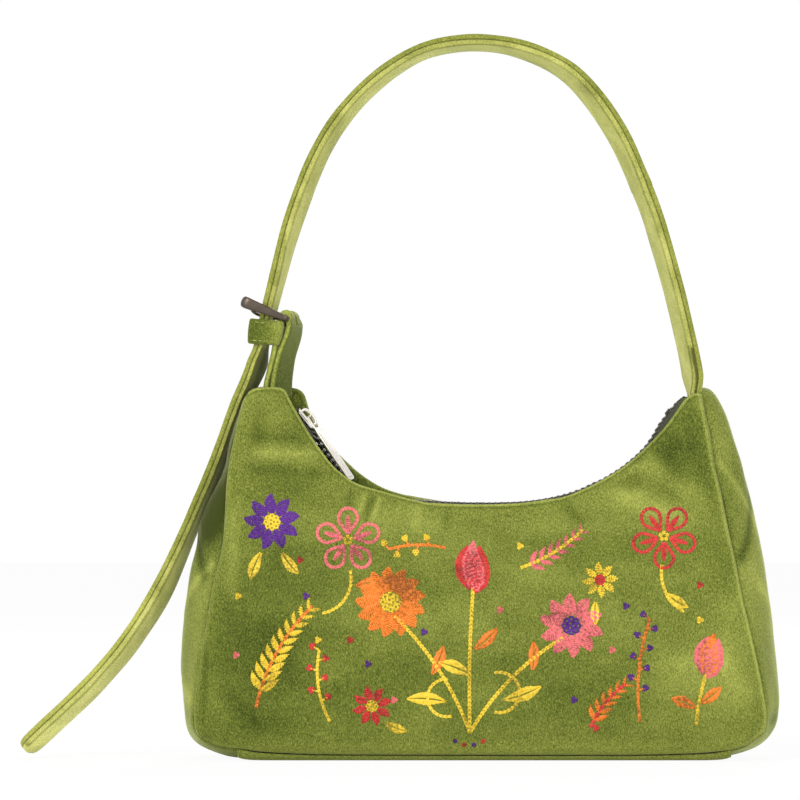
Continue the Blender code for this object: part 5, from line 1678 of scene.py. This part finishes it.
def draw_berries(needle, stem, berry, start, degrees, length, count, bend):
    line = bent(start, length, degrees, bend, 8)
    needle.chain(stem, line, spread=0.7, width=0.00055)
    curve = Curve(line, 8)
    for k in range(count):
        f = 0.3 + 0.7 * k / max(count - 1, 1)
        spot, (t, n) = curve.share(f), curve.sides(f * curve.length)
        tip = spot + (-1 if k % 2 else 1) * n * 7.5 + t * 3
        needle.line(stem, [spot, (spot + tip) / 2, tip], width=0.0006, step=3.5)
        for turn in range(3):
            needle.knot(berry, polar(tip, 1.6, 120 * turn + 30 * k), 1.9)


def draw_fern(needle, stem, leaf, start, degrees, length, pairs, bend, size):
    line = bent(start, length, degrees, bend, 8)
    needle.chain(stem, line, spread=0.8)
    curve = Curve(line, 8)
    for k in range(pairs):
        f = 0.16 + 0.80 * k / (pairs - 1)
        spot, t = curve.share(f), curve.tangent(f * curve.length)
        heading = math.degrees(math.atan2(-t[1], t[0]))
        reach = size * (1.05 - 0.55 * f)
        for side in (-1, 1):
            middle = bent(spot, reach, heading + side * 52, -side * 22)
            needle.satin(leaf, middle, [0.6, reach * 0.18, reach * 0.2, reach * 0.14, 0.4], slant=0.5)


def draw_curl(needle, colour, start, degrees, length, bend):
    needle.chain(colour, bent(start, length, degrees, bend, 14), spread=0.75, width=0.00055)


def draw_stem(needle, colour, start, length, degrees, bend):
    needle.chain(colour, bent(start, length, degrees, bend, 6), spread=0.85)


def draw_blossom(needle, petal, heart, centre, radius, turn):
    """Five rounded outline petals round a knot."""
    for k in range(5):
        degrees = turn + 72 * k
        tip = polar(centre, radius, degrees)
        ring = [polar(centre, radius * 0.26, degrees), polar(tip, radius * 0.42, degrees + 115),
                polar(tip, radius * 0.30, degrees + 40), polar(tip, radius * 0.30, degrees - 40),
                polar(tip, radius * 0.42, degrees - 115)]
        needle.chain(petal, ring, closed=True, spread=0.8, width=0.0006, step=3.6)
        needle.satin(petal, [polar(centre, radius * 0.34, degrees), polar(centre, radius * 0.95, degrees)],
                     [0.8, radius * 0.13, radius * 0.06], slant=0.2)
    for k in range(5):
        needle.knot(heart, polar(centre, radius * 0.14, 72 * k + 20), 1.7)


SPRIGS = (
    # Left: a fern that leans in, berries below and a small purple daisy above
    (draw_fern, "orange", "yellow", (256, 708), 76, 118, 10, -34, 21),
    (draw_berries, "yellow", "red", (330, 722), 116, 74, 6, -40),
    (draw_daisy, "purple", "yellow", (272, 522), 27, 9, 12),
    (draw_leaf, "yellow", (262, 551), 32, 240, 6.6),
    (draw_leaf, "yellow", (281, 551), 30, 300, 6.2),
    # Between: a pink blossom on a looped stem
    (draw_blossom, "pink", "yellow", (348, 540), 25, 18),
    (draw_curl, "yellow", (350, 570), 282, 58, -96),
    (draw_leaf, "orange", (354, 586), 26, 10, 5.4),
    # Right: a tall berry spray, a tulip and a blossom
    (draw_berries, "orange", "purple", (640, 722), 96, 104, 8, -26),
    (draw_blossom, "red", "yellow", (664, 536), 25, 54),
    (draw_curl, "yellow", (662, 564), 262, 56, 70),
    (draw_leaf, "yellow", (664, 592), 30, 320, 6.4),
    (draw_tulip, "pink", "orange", (706, 674), 39, 78),
    (draw_stem, "yellow", (696, 726), 54, 84, -12),
    (draw_leaf, "orange", (699, 704), 29, 30, 6.4),
    (draw_leaf, "orange", (697, 709), 29, 150, 6.4),
    (draw_fern, "red", "orange", (590, 728), 64, 58, 6, -30, 15),
    (draw_daisy, "yellow", "red", (600, 580), 17, 8, 4),
    (draw_leaf, "yellow", (596, 600), 26, 262, 5.4),
    # Upper middle: a small fern lying along the scoop
    (draw_fern, "yellow", "pink", (520, 568), 20, 74, 7, 26, 15),
    (draw_berries, "orange", "yellow", (446, 548), 168, 58, 5, 30),
    (draw_daisy, "red", "yellow", (372, 706), 19, 8, 14),
    (draw_leaf, "yellow", (384, 722), 26, 330, 5.2))
LOOSE_KNOTS = {"yellow": ((318, 640), (520, 546), (700, 620), (238, 596)),
               "purple": ((368, 664), (574, 700), (626, 606), (306, 596), (424, 632)),
               "red": ((300, 560), (700, 585), (596, 728), (350, 640)),
               "pink": ((500, 610), (236, 655), (394, 700), (612, 650))}
THREADS = {"yellow": (0.80, 0.56, 0.030), "orange": (0.78, 0.20, 0.014), "red": (0.60, 0.030, 0.028),
           "pink": (0.76, 0.16, 0.17), "purple": (0.090, 0.010, 0.225)}


def embroider():
    """Scattered garden sprigs in yellow, orange, red, pink and purple thread."""
    needle = Needle()
    # Middle bunch: three flowers fanning from a gathered foot
    foot = (470, 733)
    for end, bend, flower in (((392, 618), 26, "daisy"), ((474, 588), -6, "tulip"),
                              ((566, 640), -30, "pink daisy")):
        run = np.subtract(end, foot)
        degrees = math.degrees(math.atan2(-run[1], run[0]))
        line = bent(foot, float(np.hypot(*run)) * 1.01, degrees - bend / 2, bend, 10)
        needle.chain("yellow", line, spread=0.95)
        tip = line[-1]
        if flower == "daisy":
            draw_daisy(needle, "orange", "yellow", (tip[0] - 4, tip[1] - 14), 34, 13, 10)
        elif flower == "tulip":
            draw_tulip(needle, "red", "pink", (tip[0], tip[1] + 2), 45, 90)
        else:
            draw_daisy(needle, "pink", "purple", (tip[0] + 8, tip[1] - 12), 31, 10, 20)
    for start, length, degrees, width, colour in (((447, 702), 42, 168, 7.4, "yellow"),
                                                  ((431, 676), 34, 60, 6.6, "orange"),
                                                  ((472, 676), 38, 150, 7.2, "yellow"),
                                                  ((473, 650), 34, 34, 6.8, "orange"),
                                                  ((503, 700), 42, 12, 7.6, "yellow"),
                                                  ((532, 672), 32, 80, 6.2, "orange")):
        draw_leaf(needle, colour, start, length, degrees, width)
    draw_curl(needle, "yellow", (494, 712), -8, 74, 210)
    draw_curl(needle, "yellow", (452, 716), 190, 66, -200)
    for k, spot in enumerate(((455, 741), (464, 745), (474, 745), (483, 741))):
        needle.knot("red" if k % 2 else "purple", spot, 2.1)
    for draw, *values in SPRIGS:
        draw(needle, *values)
    for colour, spots in LOOSE_KNOTS.items():
        for spot in spots:
            for turn in range(3):
                needle.knot(colour, polar(spot, 2.0, 120 * turn), 1.6)
    needle.sew({name: thread("thread_" + name, colour) for name, colour in THREADS.items()})


embroider()


def edge_stitches():
    """A row of green stitches just under the front's scooped edge."""
    angles = np.radians(np.linspace(-53, 54, 170))
    radius = ((rim(FRONT_TOP_PX, angles) + EDGE_ROLL) / PX)[:, None]
    row = ZIP_CENTRE_PX + radius * np.stack([np.sin(angles), np.cos(angles)], -1)
    starts, normals = on_front(row[:-1])
    ends, _ = on_front(row[:-1] + (row[1:] - row[:-1]) * 0.72)
    dress(stitches_object("front_edge_stitches", starts, ends, normals, 0.00042, SEAM_THREAD, 0.25, 0.30),
          "velvet_green")


edge_stitches()


def keeper_stitches():
    """Two rows of pale stitches round the keeper, beside its edges."""
    centres, out, across, length = KEEPER_PATH
    pitch, lift, rows = 0.0024, 0.00093, (-0.74, 0.74)
    closed = np.vstack([centres, centres[:1]])
    steps = np.concatenate([[0], np.cumsum(np.linalg.norm(np.diff(closed, axis=0), axis=1))])
    number = int(steps[-1] / pitch)
    pairs, normals = [], []
    for row in rows:
        for k in range(number):
            pair = []
            for s in (k * steps[-1] / number, (k + 0.66) * steps[-1] / number):
                spot = np.array([np.interp(s, steps, closed[:, c]) for c in range(3)])
                i = int(np.argmin(np.linalg.norm(centres - spot, axis=1)))
                pair.append(spot + out[i] * lift + across[i] * row * length[i] / 2)
            pairs.append(pair)
            normals.append(out[i])
    starts, ends = zip(*pairs)
    dress(stitches_object("keeper_stitches", starts, ends, normals, 0.00045, PALE_THREAD), "velvet_green",
          body="strap")


keeper_stitches()


# Stage, light and camera
def area_light(name, place, target, size, power):
    data = bpy.data.lights.new(name, "AREA")
    data.energy, data.size = power, size
    lamp = new_object(name, data)
    lamp.location = place
    lamp.rotation_euler = (Vector(target) - Vector(place)).to_track_quat("-Z", "Y").to_euler()


FLOOR_HALF = 3.0
FLOOR_Z = -0.0002
FLOOR_GLOW = 0.94
WORLD_LIGHT, WORLD_TINT = 0.55, (1.0, 0.99, 0.97, 1)
# Lights: name, place, what it shines on, size and watts
LIGHTS = (("key", (-0.9, -1.5, 1.15), (0, 0, 0.12), 0.9, 22),
          ("fill", (1.2, -1.3, 0.5), (0, 0, 0.12), 1.1, 9),
          ("rim", (0.3, 1.2, 1.1), (0, 0, 0.15), 0.8, 9))


def stage():
    scene = bpy.context.scene
    scene.view_settings.view_transform = "Standard"
    # A pale matt floor; what the camera sees of it directly is mostly its own even white
    mat, tree, shader = new_material("studio_floor", 0.9)
    set_values(shader, {"Base Color": (0.97, 0.97, 0.97, 1), "Specular IOR Level": 0.0})
    path = add(tree, "ShaderNodeLightPath")
    glow = add(tree, "ShaderNodeEmission", Strength=1.0)
    share = add(tree, "ShaderNodeMath", operation="MULTIPLY")
    share.inputs[1].default_value = FLOOR_GLOW
    link(tree, path, "Is Camera Ray", share, 0)
    blended = add(tree, "ShaderNodeMixShader")
    link(tree, share, "Value", blended, 0)
    link(tree, shader, "BSDF", blended, 1)
    link(tree, glow, "Emission", blended, 2)
    link(tree, blended, "Shader", tree.nodes["Material Output"], "Surface")
    corners = [(x * FLOOR_HALF, y * FLOOR_HALF, 0) for x, y in ((-1, -1), (1, -1), (1, 1), (-1, 1))]
    floor = mesh_object("studio_floor", corners, [(0, 1, 2, 3)], mat, smooth=False)
    floor.location.z = FLOOR_Z
    # White to the camera and in reflections, softer as a light
    world = bpy.data.worlds.new("studio")
    scene.world = world
    world.use_nodes = True
    tree = world.node_tree
    soft = tree.nodes["Background"]
    set_values(soft, {"Color": WORLD_TINT, "Strength": WORLD_LIGHT})
    white = add(tree, "ShaderNodeBackground", Strength=1.0, Color=(1, 1, 1, 1))
    path = add(tree, "ShaderNodeLightPath")
    white_for = (path, "Is Camera Ray")
    for kind in ("Is Glossy Ray", "Is Transmission Ray"):
        either = add(tree, "ShaderNodeMath", operation="MAXIMUM")
        link(tree, *white_for, either, 0)
        link(tree, path, kind, either, 1)
        white_for = (either, "Value")
    mixed = add(tree, "ShaderNodeMixShader")
    link(tree, *white_for, mixed, 0)
    link(tree, soft, "Background", mixed, 1)
    link(tree, white, "Background", mixed, 2)
    link(tree, mixed, "Shader", tree.nodes["World Output"], "Surface")
    for light in LIGHTS:
        area_light(*light)
    camera_data = bpy.data.cameras.new("camera")
    camera_data.sensor_width = SENSOR
    camera_data.lens = SENSOR * CAMERA_DISTANCE / (IMAGE_PX * PX)
    camera = new_object("camera", camera_data)
    camera.location = CAMERA_AT
    camera.rotation_euler = (math.pi / 2, 0, 0)
    scene.camera = camera


stage()
bpy.context.view_layer.update()
